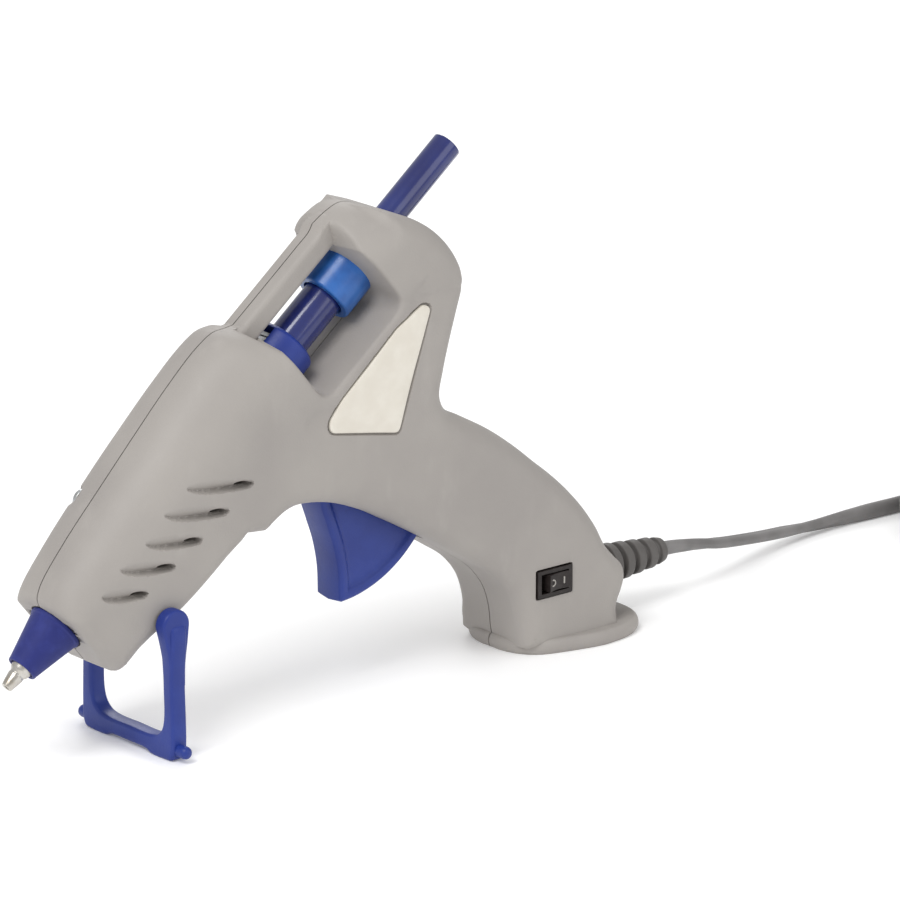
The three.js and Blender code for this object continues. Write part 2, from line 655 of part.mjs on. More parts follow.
function switchBody() {
  const { x, z } = switchCentre;
  const [w, h] = [switchWidth / 2 - 0.1, switchHeight / 2 - 0.1];
  let body = solid(block(x - w, x + w, switchFace, -3, z - h, z + h));
  const back = -gripHalfWidth + wall + 1.6;
  const flange = block(x - w - 1.3, x + w + 1.3, back - 1.2, back, z - h - 1.1, z + h + 1.1);
  body = body.add(solid(flange));
  const floor = switchFace + pocket.depth;
  const cut = block(x - pocket.half, x + pocket.half, -30, floor, z - pocket.high, z + pocket.high);
  return body.subtract(solid(cut));
}
place(gun, 'switch_body', switchBody(), finishes.blackPlastic());

const rockerTilt = THREE.MathUtils.degToRad(6);

function rockerSolid() {
  const outline = [[-3.3, -4.4], [0, -3.7], [3.3, -4.4], [3.1, -0.6], [1.2, 0.5], [-1.2, 0.5]];
  outline.push([-3.1, -0.6]);
  const shape = shapeOf(outline);
  const geometry = plate(shape, -pocket.high + 0.3, pocket.high - 0.3);
  geometry.rotateZ(rockerTilt);
  geometry.translate(switchCentre.x, rockerAxisY, switchCentre.z);
  return geometry;
}
place(gun, 'switch_rocker', rockerSolid(), finishes.blackPlastic());

// ---- cord inlet, clamp and inner wires -----------------------------------------------------------

function strainRelief() {
  const collar = collarSeat - clearance;
  const collarBack = collar - 2.6;
  const profile = [[cordRadius + clearance, collarBack], [collarRadius, collarBack], [collarRadius, collar]];
  profile.push([neckRadius, collar], [neckRadius, reliefRoot + 0.4], [4.7, reliefRoot + 0.4]);
  profile.push([4.7, reliefRoot + 2.2]);
  const ribs = 4;
  const pitch = (reliefEnd - reliefRoot - 4.4) / ribs;
  for (let i = 0; i < ribs; i += 1) {
    const start = reliefRoot + 2.2 + i * pitch;
    const crest = 4.4 - i * 0.25;
    profile.push([3.2, start + 0.2], [3.2, start + pitch * 0.4], [crest, start + pitch * 0.5]);
    profile.push([crest, start + pitch]);
  }
  profile.push([2.9, reliefEnd], [cordRadius + clearance, reliefEnd]);
  const geometry = turned(profile, 16);
  geometry.translate(0, 0, cordHeight);
  return geometry;
}
place(gun, 'strain_relief', strainRelief(), finishes.greyRubber());

const clampUnder = cordHeight + cordRadius + clearance;
const clampReach = clampPost.y + 2.4;
const clampBar = block(clampPost.x - 2.2, clampPost.x + 2.2, -clampReach, clampReach, clampUnder,
  clampUnder + 2);
place(gun, 'cord_clamp', solid(clampBar)
  .subtract(solid(rodZ(1.2, 0, 30, clampPost.x, clampPost.y, 10)))
  .subtract(solid(rodZ(1.2, 0, 30, clampPost.x, -clampPost.y, 10))), finishes.blackPlastic());

[1, -1].forEach((side, index) => {
  const screw = pointedScrew(0.9, 1.9, 1.2, 8);
  screw.rotateY(-Math.PI / 2);
  screw.translate(clampPost.x, side * clampPost.y, clampUnder + 2 + halfGap - 8);
  place(gun, `cord_clamp_screw_${index + 1}`, screw, finishes.steel());
});

const wireRadius = 0.75;

function alongBarrel(s, y, p) {
  const point = at(s, p);
  return [point.x, y, point.y];
}

const gripRoute = [[106.5, 32], [98, 43.4], [89, 51.4], [79, 58], [69, 66]];

function heaterWire(side, start) {
  const y = side * 3.4;
  const points = [...start, ...gripRoute.map(([x, z]) => [x, y, z])];
  const low = heater.bottom - 2.8;
  points.push(alongBarrel(98, y, -16), alongBarrel(86, y, low - 1.2), alongBarrel(74, y, low - 0.2));
  points.push(alongBarrel(62, y, low), alongBarrel(57.6, y, low + 0.2), alongBarrel(55.9, y, low + 2));
  points.push(alongBarrel(55.9, y * 0.8, heater.top - 1.2));
  return tube(points, wireRadius, 44, 6);
}

const cordEnd = 125;
place(gun, 'wire_switched', heaterWire(-1, [[109, -2.1, 17.5], [108.6, -1.6, 19.6], [108, -2.4, 25]]),
  finishes.whiteWire());
place(gun, 'wire_neutral', heaterWire(1, [[cordEnd - 0.4, 1, cordHeight], [121, 2, 14], [114, 3, 19],
  [109.6, 3.4, 26]]), finishes.whiteWire());
place(gun, 'wire_live', tube([[cordEnd - 0.4, -1.1, cordHeight], [122, -1.2, 13.4], [119, -1.4, 15.4],
  [116.4, -1.8, 17], [115, -2.1, 17.5]], wireRadius, 10, 6), finishes.whiteWire());

// ---- cord, coil and plug -------------------------------------------------------------------------

const coilOuter = coilMiddle + coilWidth / 2;
const coilInner = coilMiddle - coilWidth / 2;
const cordLane = 16;
const cordFarEnd = 245.4;
const coilTouch = coilOuter + cordRadius + clearance;
const coilCentre = {
  x: cordFarEnd + Math.sqrt(coilTouch ** 2 - (coilOuter - cordRadius) ** 2),
  y: cordLane + cordRadius - coilOuter,
};

const route = [
  [cordEnd, 0, cordHeight], [134, 0, cordHeight], [146, 0, cordHeight], [158, 0.1, cordHeight],
  [168, 1, 11.6], [180, 4.2, 8.8], [192, 8.6, 6.2], [202, 12.2, 4.3],
  [212, 14.8, 2.9], [221, 16.2, 2.1], [233, 16.4, 2], [cordFarEnd, cordLane, 2],
];
place(gun, 'cord', tube(route, cordRadius, 44), finishes.greyRubber());

function coilRing() {
  const round = 2.2;
  const outline = [[coilInner + round, 0], [coilOuter - round, 0], [coilOuter, round]];
  outline.push([coilOuter, coilHeight - round], [coilOuter - round, coilHeight]);
  outline.push([coilInner + round, coilHeight], [coilInner, coilHeight - round], [coilInner, round]);
  const ring = turned(outline, 28);
  ring.rotateY(-Math.PI / 2);
  ring.translate(coilCentre.x, coilCentre.y, 0);
  return ring;
}
place(gun, 'cord_coil', coilRing(), finishes.greyRubber());

// A strap over the coil, open beneath, on the side away from the plug.
function cordTie() {
  const half = coilWidth / 2 + clearance + 0.1;
  const strap = 0.8;
  const x = coilCentre.x;
  const y = coilCentre.y + coilMiddle;
  const top = coilHeight + clearance;
  const outer = block(x - 3.5, x + 3.5, y - half - strap, y + half + strap, 0.4, top + strap);
  return solid(outer).subtract(solid(block(x - 9, x + 9, y - half, y + half, -1, top)));
}
place(gun, 'cord_tie', cordTie(), finishes.blackPlastic());

// Two-blade mains plug lying on the coil, its blades pointing back towards the gun.
const plugBody = { back: 18, front: -10, half: 11, halfHeight: 6, y: 2.5 - coilMiddle };

function plugPieces() {
  const { back, front, half, halfHeight } = plugBody;
  const side = [[front, half - 1.5], [front + 1.5, half], [front + 9, half], [front + 13, half - 3.4]];
  side.push([back - 9, 5], [back, 3.4]);
  const outline = shapeOf([...side, ...side.map(([x, y]) => [x, -y]).reverse()]);
  const height = coilHeight + clearance + halfHeight;
  const body = plate(outline, height - halfHeight, height + halfHeight);
  const blade = { length: 17, offset: 6.35, half: 0.75, halfHeight: 3.1 };
  const bladeFront = front - clearance - blade.length;
  const blades = [-1, 1].map((sign) => block(bladeFront, front - clearance, sign * blade.offset - blade.half,
    sign * blade.offset + blade.half, height - blade.halfHeight, height + blade.halfHeight));
  return [body, ...blades].map((piece) => piece.translate(coilCentre.x, coilCentre.y + plugBody.y, 0));
}
const [plugSolid, ...plugBlades] = plugPieces();
place(gun, 'plug', plugSolid, finishes.greyRubber());
plugBlades.forEach((blade, index) => place(gun, `plug_blade_${index + 1}`, blade, finishes.steel()));

// The object's own box, without what lies free on the cord, sets the origin under its middle.
const own = new THREE.Box3();
gun.updateMatrixWorld(true);
gun.traverse((piece) => {
  const free = /^(cord|cord_coil|cord_tie|plug.*)$/.test(piece.name);
  if (piece.isMesh && !free) own.expandByObject(piece, true);
});
const middle = own.getCenter(new THREE.Vector3());
gun.position.set(-middle.x, -middle.y, -own.min.z);

const assembly = new THREE.Group();
assembly.add(gun);

export default assembly;
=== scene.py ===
"""A compact hobby glue gun in metres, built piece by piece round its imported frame.

Outlines are written in the maker's drawing coordinates, in millimetres: x runs from the nozzle to the
cord, y away from the left shell, z up from the bench. The barrel has its own pair, s along the stick
from the nozzle tip and p above its centre line.
"""

import math

import bpy
import numpy as np
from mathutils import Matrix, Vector
from mathutils.geometry import delaunay_2d_cdt


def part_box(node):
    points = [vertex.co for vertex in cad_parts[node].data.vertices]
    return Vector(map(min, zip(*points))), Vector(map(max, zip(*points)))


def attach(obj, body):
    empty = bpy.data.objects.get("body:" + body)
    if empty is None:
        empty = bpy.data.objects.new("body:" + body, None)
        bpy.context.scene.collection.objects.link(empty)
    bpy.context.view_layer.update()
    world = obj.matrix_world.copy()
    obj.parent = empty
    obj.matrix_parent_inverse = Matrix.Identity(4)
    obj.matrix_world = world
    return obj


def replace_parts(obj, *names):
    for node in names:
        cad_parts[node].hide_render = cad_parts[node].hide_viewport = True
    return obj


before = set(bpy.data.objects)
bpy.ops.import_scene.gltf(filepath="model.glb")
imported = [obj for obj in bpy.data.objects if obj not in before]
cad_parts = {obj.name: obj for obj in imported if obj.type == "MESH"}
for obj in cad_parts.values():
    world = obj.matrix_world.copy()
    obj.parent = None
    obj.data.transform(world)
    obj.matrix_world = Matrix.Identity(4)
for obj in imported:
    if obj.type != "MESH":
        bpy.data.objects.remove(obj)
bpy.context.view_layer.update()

# ---- Camera, lights and bench ---------------------------------------------------------------------
# A long lens looks down a little on the left side of the gun from in front of its nozzle.
# A large soft key stands up and to the left, with a weak fill and a pale bench.

mm = 0.001
sight = Vector((6.3, -30.2, 62.8)) * mm
azimuth, elevation = math.radians(-40), math.radians(17)
stand_off = 1.5
back = Vector((math.sin(azimuth) * math.cos(elevation), -math.cos(azimuth) * math.cos(elevation),
               math.sin(elevation)))

lens = bpy.data.cameras.new("camera")
lens.sensor_width = 36
lens.lens = 265.8
lens.clip_end = 20
camera = bpy.data.objects.new("camera", lens)
bpy.context.collection.objects.link(camera)
camera.location = sight + back * stand_off
camera.rotation_euler = back.to_track_quat("Z", "Y").to_euler()
bpy.context.scene.camera = camera


def soft_light(name, place, size, power):
    """A square lamp of that size in metres, aimed at the gun."""
    lamp = bpy.data.lights.new(name, "AREA")
    lamp.shape = "SQUARE"
    lamp.size = size
    lamp.energy = power
    holder = bpy.data.objects.new(name, lamp)
    bpy.context.collection.objects.link(holder)
    holder.location = place
    holder.rotation_euler = (Vector(place) - sight).to_track_quat("Z", "Y").to_euler()


soft_light("key_light", (-0.9, -0.35, 1.25), 0.7, 13)
soft_light("fill_light", (0.5, -1.3, 0.7), 0.9, 3.5)
soft_light("rim_light", (0.7, 1.0, 0.9), 0.6, 5)

world = bpy.data.worlds.new("studio")
world.use_nodes = True
world.node_tree.nodes["Background"].inputs["Color"].default_value = (1, 1, 1, 1)
world.node_tree.nodes["Background"].inputs["Strength"].default_value = 0.62
bpy.context.scene.world = world
bpy.context.scene.view_settings.view_transform = "Standard"


class Amount:
    """A number that varies over a surface. Arithmetic on it adds Math nodes to its finish."""

    def __init__(self, finish, socket):
        self.finish, self.socket = finish, socket

    def math(self, operation, *numbers):
        """One Math node on these numbers."""
        made = self.finish.node("ShaderNodeMath", {"operation": operation}, dict(enumerate(numbers)))
        return Amount(self.finish, made.outputs[0])

    def __add__(self, other):
        return self.math("ADD", self, other)

    def __radd__(self, other):
        return self.math("ADD", other, self)

    def __sub__(self, other):
        return self.math("SUBTRACT", self, other)

    def __rsub__(self, other):
        return self.math("SUBTRACT", other, self)

    def __mul__(self, other):
        return self.math("MULTIPLY", self, other)

    def __rmul__(self, other):
        return self.math("MULTIPLY", other, self)

    def __truediv__(self, other):
        return self.math("DIVIDE", self, other)

    def __pow__(self, other):
        return self.math("POWER", self, other)

    def step(self, low, high):
        """0 below low, 1 above high, and smooth between them."""
        made = self.finish.node("ShaderNodeMapRange", {"interpolation_type": "SMOOTHSTEP"},
                                {"Value": self, "From Min": low, "From Max": high})
        return Amount(self.finish, made.outputs[0])


class Finish:
    """A surface finish on a Principled shader, with its constants on the shader's own sockets."""

    def __init__(self, name, **constants):
        self.material = bpy.data.materials.new(name)
        self.material.use_nodes = True
        self.tree = self.material.node_tree
        self.shader = self.tree.nodes["Principled BSDF"]
        for socket, value in constants.items():
            self.shader.inputs[socket.replace("_", " ")].default_value = value
        self.place = self.node("ShaderNodeTexCoord", {}, {}).outputs["Object"]

    def node(self, kind, settings, sockets):
        """Adds a node: its settings first, then each socket's value or link."""
        made = self.tree.nodes.new(kind)
        for name, value in settings.items():
            setattr(made, name, value)
        for name, value in sockets.items():
            self.fill(made.inputs[name], value)
        return made

    def fill(self, socket, value):
        """Links a socket to a varying value, or sets it to a constant."""
        value = value.socket if isinstance(value, Amount) else value
        if isinstance(value, bpy.types.NodeSocket):
            self.tree.links.new(value, socket)
        else:
            socket.default_value = value

    def noise(self, size, detail=2.0, stretch=(1, 1, 1)):
        """Cloudy grain whose lumps are about size metres across."""
        place = self.node("ShaderNodeMapping", {}, {"Vector": self.place, "Scale": stretch}).outputs[0]
        made = self.node("ShaderNodeTexNoise", {}, {"Vector": place, "Scale": 1 / size, "Detail": detail})
        return Amount(self, made.outputs["Fac"])

    def mix(self, share, first, second):
        """A colour that goes from first to second as share goes from 0 to 1."""
        made = self.node("ShaderNodeMix", {"data_type": "RGBA"}, {0: share, 6: first, 7: second})
        return made.outputs[2]

    def relief(self, height, depth):
        """Feeds a height between 0 and 1, depth metres tall, to the surface normal."""
        made = self.node("ShaderNodeBump", {}, {"Height": height, "Distance": depth})
        self.fill(self.shader.inputs["Normal"], made.outputs[0])

    def set(self, **varying):
        """Feeds varying values to the shader's sockets."""
        for socket, value in varying.items():
            self.fill(self.shader.inputs[socket.replace("_", " ")], value)


def shade(red, green, blue, gain=1.0):
    """A display colour of 0 to 255 as linear light."""
    parts = [(c / 255 * gain) for c in (red, green, blue)]
    return tuple(c / 12.92 if c < 0.04045 else ((c + 0.055) / 1.055) ** 2.4 for c in parts) + (1,)


def mesh_piece(name, points, faces, finish, sharp=40):
    """A mesh object at the origin. Faces are turned to point outwards by the sign of their volume."""
    points = np.asarray(points, float).reshape(-1, 3)
    fans = [np.stack([face[:, 0], face[:, k], face[:, k + 1]], 1) for face in faces for k in
            range(1, face.shape[1] - 1)]
    corner = points[np.concatenate(fans)]
    volume = np.einsum("ij,ij->i", corner[:, 0], np.cross(corner[:, 1], corner[:, 2])).sum()
    mesh = bpy.data.meshes.new(name)
    turned = [face if volume > 0 else face[:, ::-1] for face in faces]
    mesh.from_pydata(points.tolist(), [], [row for face in turned for row in face.tolist()])
    mesh.shade_smooth()
    mesh.set_sharp_from_angle(angle=math.radians(sharp))
    mesh.materials.append(finish.material)
    made = bpy.data.objects.new(name, mesh)
    bpy.context.collection.objects.link(made)
    return made


def skin(rows, columns, wrap_rows=False):
    """Quads over a grid whose columns wrap round, with a fan on each end unless its rows wrap too.

    The fans meet in two extra points, numbered after the grid's own.
    """
    last = rows if wrap_rows else rows - 1
    i, j = np.meshgrid(np.arange(last), np.arange(columns), indexing="ij")
    up, side = (i + 1) % rows, (j + 1) % columns
    quads = np.stack([i * columns + j, i * columns + side, up * columns + side, up * columns + j], -1)
    faces = [quads.reshape(-1, 4)]
    if not wrap_rows:
        j = np.arange(columns)
        side = (j + 1) % columns
        first, end = rows * columns, (rows - 1) * columns
        faces.append(np.stack([side, j, np.full(columns, first)], 1))
        faces.append(np.stack([end + j, end + side, np.full(columns, first + 1)], 1))
    return faces


def grid_piece(name, grid, finish, wrap_rows=False, sharp=40):
    """A closed piece from grid[row, column, xyz], ended by fans on its first and last rows' middles."""
    rows, columns = grid.shape[:2]
    points = grid.reshape(-1, 3)
    if not wrap_rows:
        points = np.concatenate([points, grid[:1].mean(1), grid[-1:].mean(1)])
    return mesh_piece(name, points, skin(rows, columns, wrap_rows), finish, sharp)


def join(name, pieces):
    """Several meshes as one object of that name."""
    with bpy.context.temp_override(active_object=pieces[0], selected_editable_objects=pieces):
        bpy.ops.object.join()
    pieces[0].name = pieces[0].data.name = name
    return pieces[0]


bench_finish = Finish("bench_white", Base_Color=shade(250, 250, 250), Roughness=0.9,
                      Emission_Color=(1, 1, 1, 1), Emission_Strength=0.1)
bench_finish.set(Base_Color=bench_finish.mix(bench_finish.noise(0.3), shade(248, 248, 248),
                                             shade(252, 252, 252)))
bench_mesh = bpy.data.meshes.new("bench")
reach = 6.0
bench_mesh.from_pydata([(-reach, -reach, 0), (reach, -reach, 0), (reach, reach, 0), (-reach, reach, 0)],
                       [], [(0, 1, 2, 3)])
bench_mesh.materials.append(bench_finish.material)
bench = bpy.data.objects.new("bench", bench_mesh)
bpy.context.collection.objects.link(bench)

# ---- Mains cord -----------------------------------------------------------------------------------
# A flat twin flex of soft grey PVC: two cores side by side with a groove between them. It runs from
# the clamp in the grip to the bench, then winds into a stored coil of two layers and rises to its plug.

shift = -59.541


def row(x, y, z):
    """Drawing coordinates, as numbers or arrays, to the frame's own, in metres."""
    x, y, z = np.broadcast_arrays(x, y, z)
    return np.stack([x + shift, y, z], -1) * mm


def smooth_line(points, spacing):
    """A centripetal Catmull-Rom line through the points, resampled to an even spacing."""
    points = np.asarray(points, float)
    ends = np.concatenate([[2 * points[0] - points[1]], points, [2 * points[-1] - points[-2]]])
    knots = np.concatenate([[0], np.cumsum(np.sqrt(np.linalg.norm(np.diff(ends, axis=0)[:, :2], axis=1)))])
    fine = []
    for k in range(1, len(ends) - 2):
        t = np.linspace(knots[k], knots[k + 1], 24, endpoint=False)[:, None]
        a = [(knots[k + j] - t) / (knots[k + j] - knots[k + j - 1]) * ends[k + j - 1]
             + (t - knots[k + j - 1]) / (knots[k + j] - knots[k + j - 1]) * ends[k + j] for j in (0, 1, 2)]
        b = [(knots[k + 1 + j] - t) / (knots[k + 1 + j] - knots[k - 1 + j]) * a[j]
             + (t - knots[k - 1 + j]) / (knots[k + 1 + j] - knots[k - 1 + j]) * a[j + 1] for j in (0, 1)]
        fine.append((knots[k + 1] - t) / (knots[k + 1] - knots[k]) * b[0]
                    + (t - knots[k]) / (knots[k + 1] - knots[k]) * b[1])
    fine = np.concatenate(fine + [points[-1:]])
    along = np.concatenate([[0], np.cumsum(np.linalg.norm(np.diff(fine, axis=0)[:, :2], axis=1))])
    even = np.linspace(0, along[-1], max(2, round(along[-1] / spacing) + 1))
    return np.stack([np.interp(even, along, fine[:, c]) for c in range(fine.shape[1])], 1)


cord_width, cord_thickness = 4.0, 2.7
coil_x, coil_y = 263.6, -16.9
lane = 31.0
turns = 4
coil_step = 2.8
route = [[125, 0, 12.9], [134, 0, 12.9], [146, 0, 12.9], [158, 0.1, 12.9], [168, 1, 11.6],
         [180, 4.2, 8.8], [192, 8.4, 6.2], [202, 11.6, 4.3], [212, 13.8, 3], [221, 14.9, 2.2],
         [233, 14.9, 2.1], [247, 14.4, 2.1]]

sweep = np.radians(90 - np.linspace(0, 360 * turns, 60 * turns + 1))
layers = []
for layer in (0, 1):
    share = np.linspace(0, 1, len(sweep))
    radius = lane - coil_step * turns * (share if layer == 0 else 1 - share)
    height = 2.1 + layer * (cord_width + 0.15) + 0 * share
    angle = sweep if layer == 0 else sweep - math.radians(60)
    layers.append(np.stack([coil_x + radius * np.cos(angle), coil_y + radius * np.sin(angle), height], 1))
step_turn = np.radians([98, 82, 66, 50, 34])
step_radius = lane - coil_step * turns - 0.4
step_up = np.stack([coil_x + step_radius * np.cos(step_turn), coil_y + step_radius * np.sin(step_turn),
                    np.linspace(2.4, 5.9, 5)], 1)
drawn = np.concatenate([np.array(route), layers[0][2:-2:3], step_up, layers[1][2::3]])
# Past the coil's last turn the cord swings out a little, climbs, and bends round into the plug's boot.
climb = np.array([[31.5, 6.7, 6.9], [34.4, -1.6, 8.0], [35, -7.5, 9.3], [33.4, -14.7, 11.4],
                  [28.9, -20.5, 13.4], [23.3, -23.7, 15.0], [18, -24.5, 15.8], [12, -24.5, 15.9]])
drawn = np.concatenate([drawn, climb + [coil_x, coil_y, 0]])
cord_line = smooth_line(drawn, 1.6)


def ribbon(line, width, thickness, tilt, columns=20):
    """A flat twin section carried along a line: two lobes side by side, turned by tilt from upright.

    Across the width the half thickness is a pair of round lobes with a shallow groove between them.
    """
    ahead = np.gradient(line, axis=0)
    ahead /= np.linalg.norm(ahead, axis=1, keepdims=True)
    level = np.cross(ahead, [0, 0, 1.0])
    level /= np.linalg.norm(level, axis=1, keepdims=True)
    upright = np.cross(level, ahead)
    turn = tilt[:, None]
    wide = upright * np.cos(turn) + level * np.sin(turn)
    thin = level * np.cos(turn) - upright * np.sin(turn)
    around = np.linspace(0, 2 * np.pi, columns, endpoint=False)
    u = np.cos(around) * width / 2
    v = np.sign(np.sin(around)) * np.abs(np.sin(around)) ** 0.75 * thickness / 2
    v = v * (1 - 0.22 * np.exp(-(u / (width * 0.11)) ** 2))
    return line[:, None] + wide[:, None] * u[None, :, None] + thin[:, None] * v[None, :, None]


length_along = np.concatenate([[0], np.cumsum(np.linalg.norm(np.diff(cord_line, axis=0), axis=1))])
twist = np.radians(90) * np.clip((length_along - 24) / 30, 0, 1) * np.clip((118 - length_along) / 30, 0, 1)
cord_grid = ribbon(cord_line, cord_width, cord_thickness, twist)

cord_pvc = Finish("cord_pvc", Roughness=0.5, Specular_IOR_Level=0.4)
grain = cord_pvc.noise(0.0006, 3)
scuff = cord_pvc.noise(0.012, 4)
cord_pvc.set(Base_Color=cord_pvc.mix(scuff.step(0.3, 0.75), shade(106, 104, 103), shade(128, 126, 125)),
             Roughness=0.42 + scuff * 0.2)
cord_pvc.relief(grain, 0.00004)
cord = grid_piece("mains_cord", row(*np.moveaxis(cord_grid, -1, 0)), cord_pvc, sharp=60)
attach(cord, "housing")
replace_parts(cord, "cord", "cord_coil")

# ---- Plug and coil tie ----------------------------------------------------------------------------
# A soft grey plug is moulded on the cord's end, with two nickel-plated brass blades and a ribbed boot. It
# lies on the coil, and a black plastic strap folded down round the turns holds them together.


def loft(name, stations, finish, columns=48, sharp=40):
    """Superellipse sections along x. A station is x, middle y, middle z, half width, half height, power."""
    table = np.array(stations, float)
    around = np.linspace(0, 2 * np.pi, columns, endpoint=False)
    c, s = np.cos(around)[None], np.sin(around)[None]
    power = 2 / table[:, 5:6]
    y = table[:, 1:2] + table[:, 3:4] * np.sign(c) * np.abs(c) ** power
    z = table[:, 2:3] + table[:, 4:5] * np.sign(s) * np.abs(s) ** power
    return grid_piece(name, row(table[:, 0:1] + 0 * c, y, z), finish, sharp=sharp)


plug_y, plug_z = coil_y - 24.5, 15.9
# Each station is x from the coil's middle, half width, half height and the section's power.
plug_stations = [[-10, 9.4, 4.4, 5], [-9.6, 10.4, 5.4, 5], [-8.4, 11, 6, 5], [-1.4, 11, 6, 5],
                 [-0.8, 10.7, 5.8, 5], [-0.2, 11, 6, 5], [1.5, 10.6, 6, 4.4], [4, 9, 5.8, 3.6],
                 [6.5, 6.8, 5.2, 3], [8.5, 5.4, 4.4, 2.4]]
for groove in range(4):
    start = 9.2 + groove * 2.2
    width = 4.6 - groove * 0.35
    plug_stations += [[start, width, width * 0.86, 2], [start + 0.9, width, width * 0.86, 2],
                      [start + 1.05, width - 0.7, width * 0.86 - 0.7, 2],
                      [start + 1.9, width - 0.75, width * 0.86 - 0.7, 2]]
plug_stations.append([18, 2.6, 2.2, 2])
plug = loft("plug_body", [[coil_x + x, plug_y, plug_z, w, h, n] for x, w, h, n in plug_stations], cord_pvc)
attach(plug, "housing")
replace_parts(plug, "plug")

blade_plate = Finish("blade_nickel", Base_Color=shade(214, 208, 192), Metallic=1.0, Roughness=0.22)
rubbed = blade_plate.noise(0.0008, 4, (0.2, 1, 1))
blade_plate.set(Roughness=0.16 + rubbed * 0.2)
blade_plate.relief(rubbed, 0.00001)
for side, node in ((-1, "plug_blade_1"), (1, "plug_blade_2")):
    low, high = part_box(node)
    middle = (low + high) / 2 / mm
    stations = [[x, middle.y, middle.z, w, h, 8] for x, w, h in (
        (low.x / mm, 0.2, 2.4), (low.x / mm + 0.5, 0.5, 2.8), (low.x / mm + 1.4, 0.74, 3.1),
        (high.x / mm, 0.74, 3.1))]
    blade = loft(f"plug_pin_{node[-1]}", [[x - shift, *rest] for x, *rest in stations], blade_plate, 24)
    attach(blade, "housing")
    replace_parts(blade, node)

strap_black = Finish("strap_black", Base_Color=shade(38, 36, 36), Roughness=0.5)
strap_grain = strap_black.noise(0.0005, 2, (1, 0.2, 0.2))
strap_black.set(Roughness=0.4 + strap_grain * 0.2)
strap_black.relief(strap_grain, 0.00004)


def around_coil(half, height, corner, count=9):
    """An upside-down U round the coil's section: two legs, two quarter-round corners and a flat top."""
    bend = np.linspace(0, np.pi / 2, count)
    left = np.stack([-half + corner - corner * np.cos(bend), height - corner + corner * np.sin(bend)], 1)
    right = left[::-1] * [-1, 1]
    return np.concatenate([[[-half, 0.5]], left, right, [[half, 0.5]]])


tie_outer = around_coil(7.6, 10.7, 2.2)
tie_inner = around_coil(6.9, 9.9, 1.6)
tie_loop = np.concatenate([tie_outer, tie_inner[::-1]])
tie_y = coil_y + 27
tie_x = np.array([-3.5, -3.3, -2.9, 2.9, 3.3, 3.5])
tie_swell = np.array([0.6, 0.9, 1, 1, 0.9, 0.6])
mid_loop = np.concatenate([(tie_outer + tie_inner) / 2, ((tie_outer + tie_inner) / 2)[::-1]])
tie_grid = mid_loop[None] + (tie_loop - mid_loop)[None] * tie_swell[:, None, None]
tie = grid_piece("coil_tie", row(coil_x + tie_x[:, None], tie_y + tie_grid[..., 0], tie_grid[..., 1]),
                 strap_black)
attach(tie, "housing")
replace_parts(tie, "cord_tie")

row(146.0, 0.0, 12.9)
row(*cord_line.T).tolist()

# ---- Housing halves ---------------------------------------------------------------------------------
# Two mirrored mouldings in warm grey ABS with a fine spark-eroded grain, about 2 mm thick, which meet on
# the middle plane. Each is drawn as a height above that plane over the side view, and screwed from the right.

pitch = math.radians(39)
tip_x, tip_z = -37.1, 20.9
body_half, nose_half, grip_half = 14.5, 11.0, 13.0
parting = 0.17
bar_half, bar_inner, bar_outer = 3.6, 9.3, 14.9
window_front, window_rear, window_floor = 97.0, 125.0, -8.0
wall_thickness = 2.0


def at(s, p):
    """A point of the barrel in drawing x and z."""
    return [tip_x + s * math.cos(pitch) - p * math.sin(pitch),
            tip_z + s * math.sin(pitch) + p * math.cos(pitch)]


def along_barrel(x, z):
    """The barrel's s and p of drawing x and z."""
    x, z = x - tip_x, z - tip_z
    return x * math.cos(pitch) + z * math.sin(pitch), z * math.cos(pitch) - x * math.sin(pitch)


# Each run is smooth, and runs meet in corners. Its second value is the radius that rounds the edge there.
barrel_top = [at(18, 7.2), at(18.7, 8.9), at(21.4, 10.7), at(32, 13.1), at(46, 15), at(60, 16.8),
              at(74, 18.4), at(85, 18.9), at(90.4, 18.1), at(93.4, 16.2), at(95.4, 15)]
bar_top = [at(95.4, 15), at(104, 14.95), at(119, 14.95), at(123.6, 15), at(125.6, 15.7)]
back_edge = [at(125.6, 15.7), [54.2, 114.3], [58.6, 115.8], [66, 113.9], [73.4, 110.8], [79.1, 106.8],
             [83.2, 102.2], [85.5, 97.8], [85.9, 93.4], [84.5, 88.8], [82.4, 82.5], [80.1, 74.5], [79.1, 69],
             [81.1, 65.2], [86.2, 62.3], [95.6, 57], [103.3, 51.6], [109.4, 46.6], [114.6, 42.4], [119.4, 38],
             [124, 33], [128, 27.6], [131.2, 22], [134.4, 18.4], [136.6, 16], [137, 13], [135.8, 9.4],
             [134, 6], [133.4, 1.5]]
grip_front = [[104.4, 1.5], [103.6, 5], [102.9, 10.5], [100.9, 16], [96.4, 21.5], [90, 26], [83, 30.4],
              [75, 35.3], [66, 40.5], [56, 45.8], [46, 49.6], [36, 50.8], [30.8, 49.2], [26.6, 47.1]]
belly = [at(62.3, -16), at(40, -16.1), at(33, -15.3), at(27.4, -14.8), at(24, -15.4), at(21.8, -16)]
nose_corner = [at(21.8, -16), at(19.1, -14.9), at(18, -11.8)]
runs = [(barrel_top, 0), (bar_top, 1.3), (back_edge, 6), ([[133.4, 1.5], [104.4, 1.5]], 2),
        (grip_front, 5), ([[26.6, 47.1], at(62.3, -16)], 2), (belly, 4.2),
        (nose_corner, 8), ([at(18, -11.8), at(18, 7.2)], 2.6)]


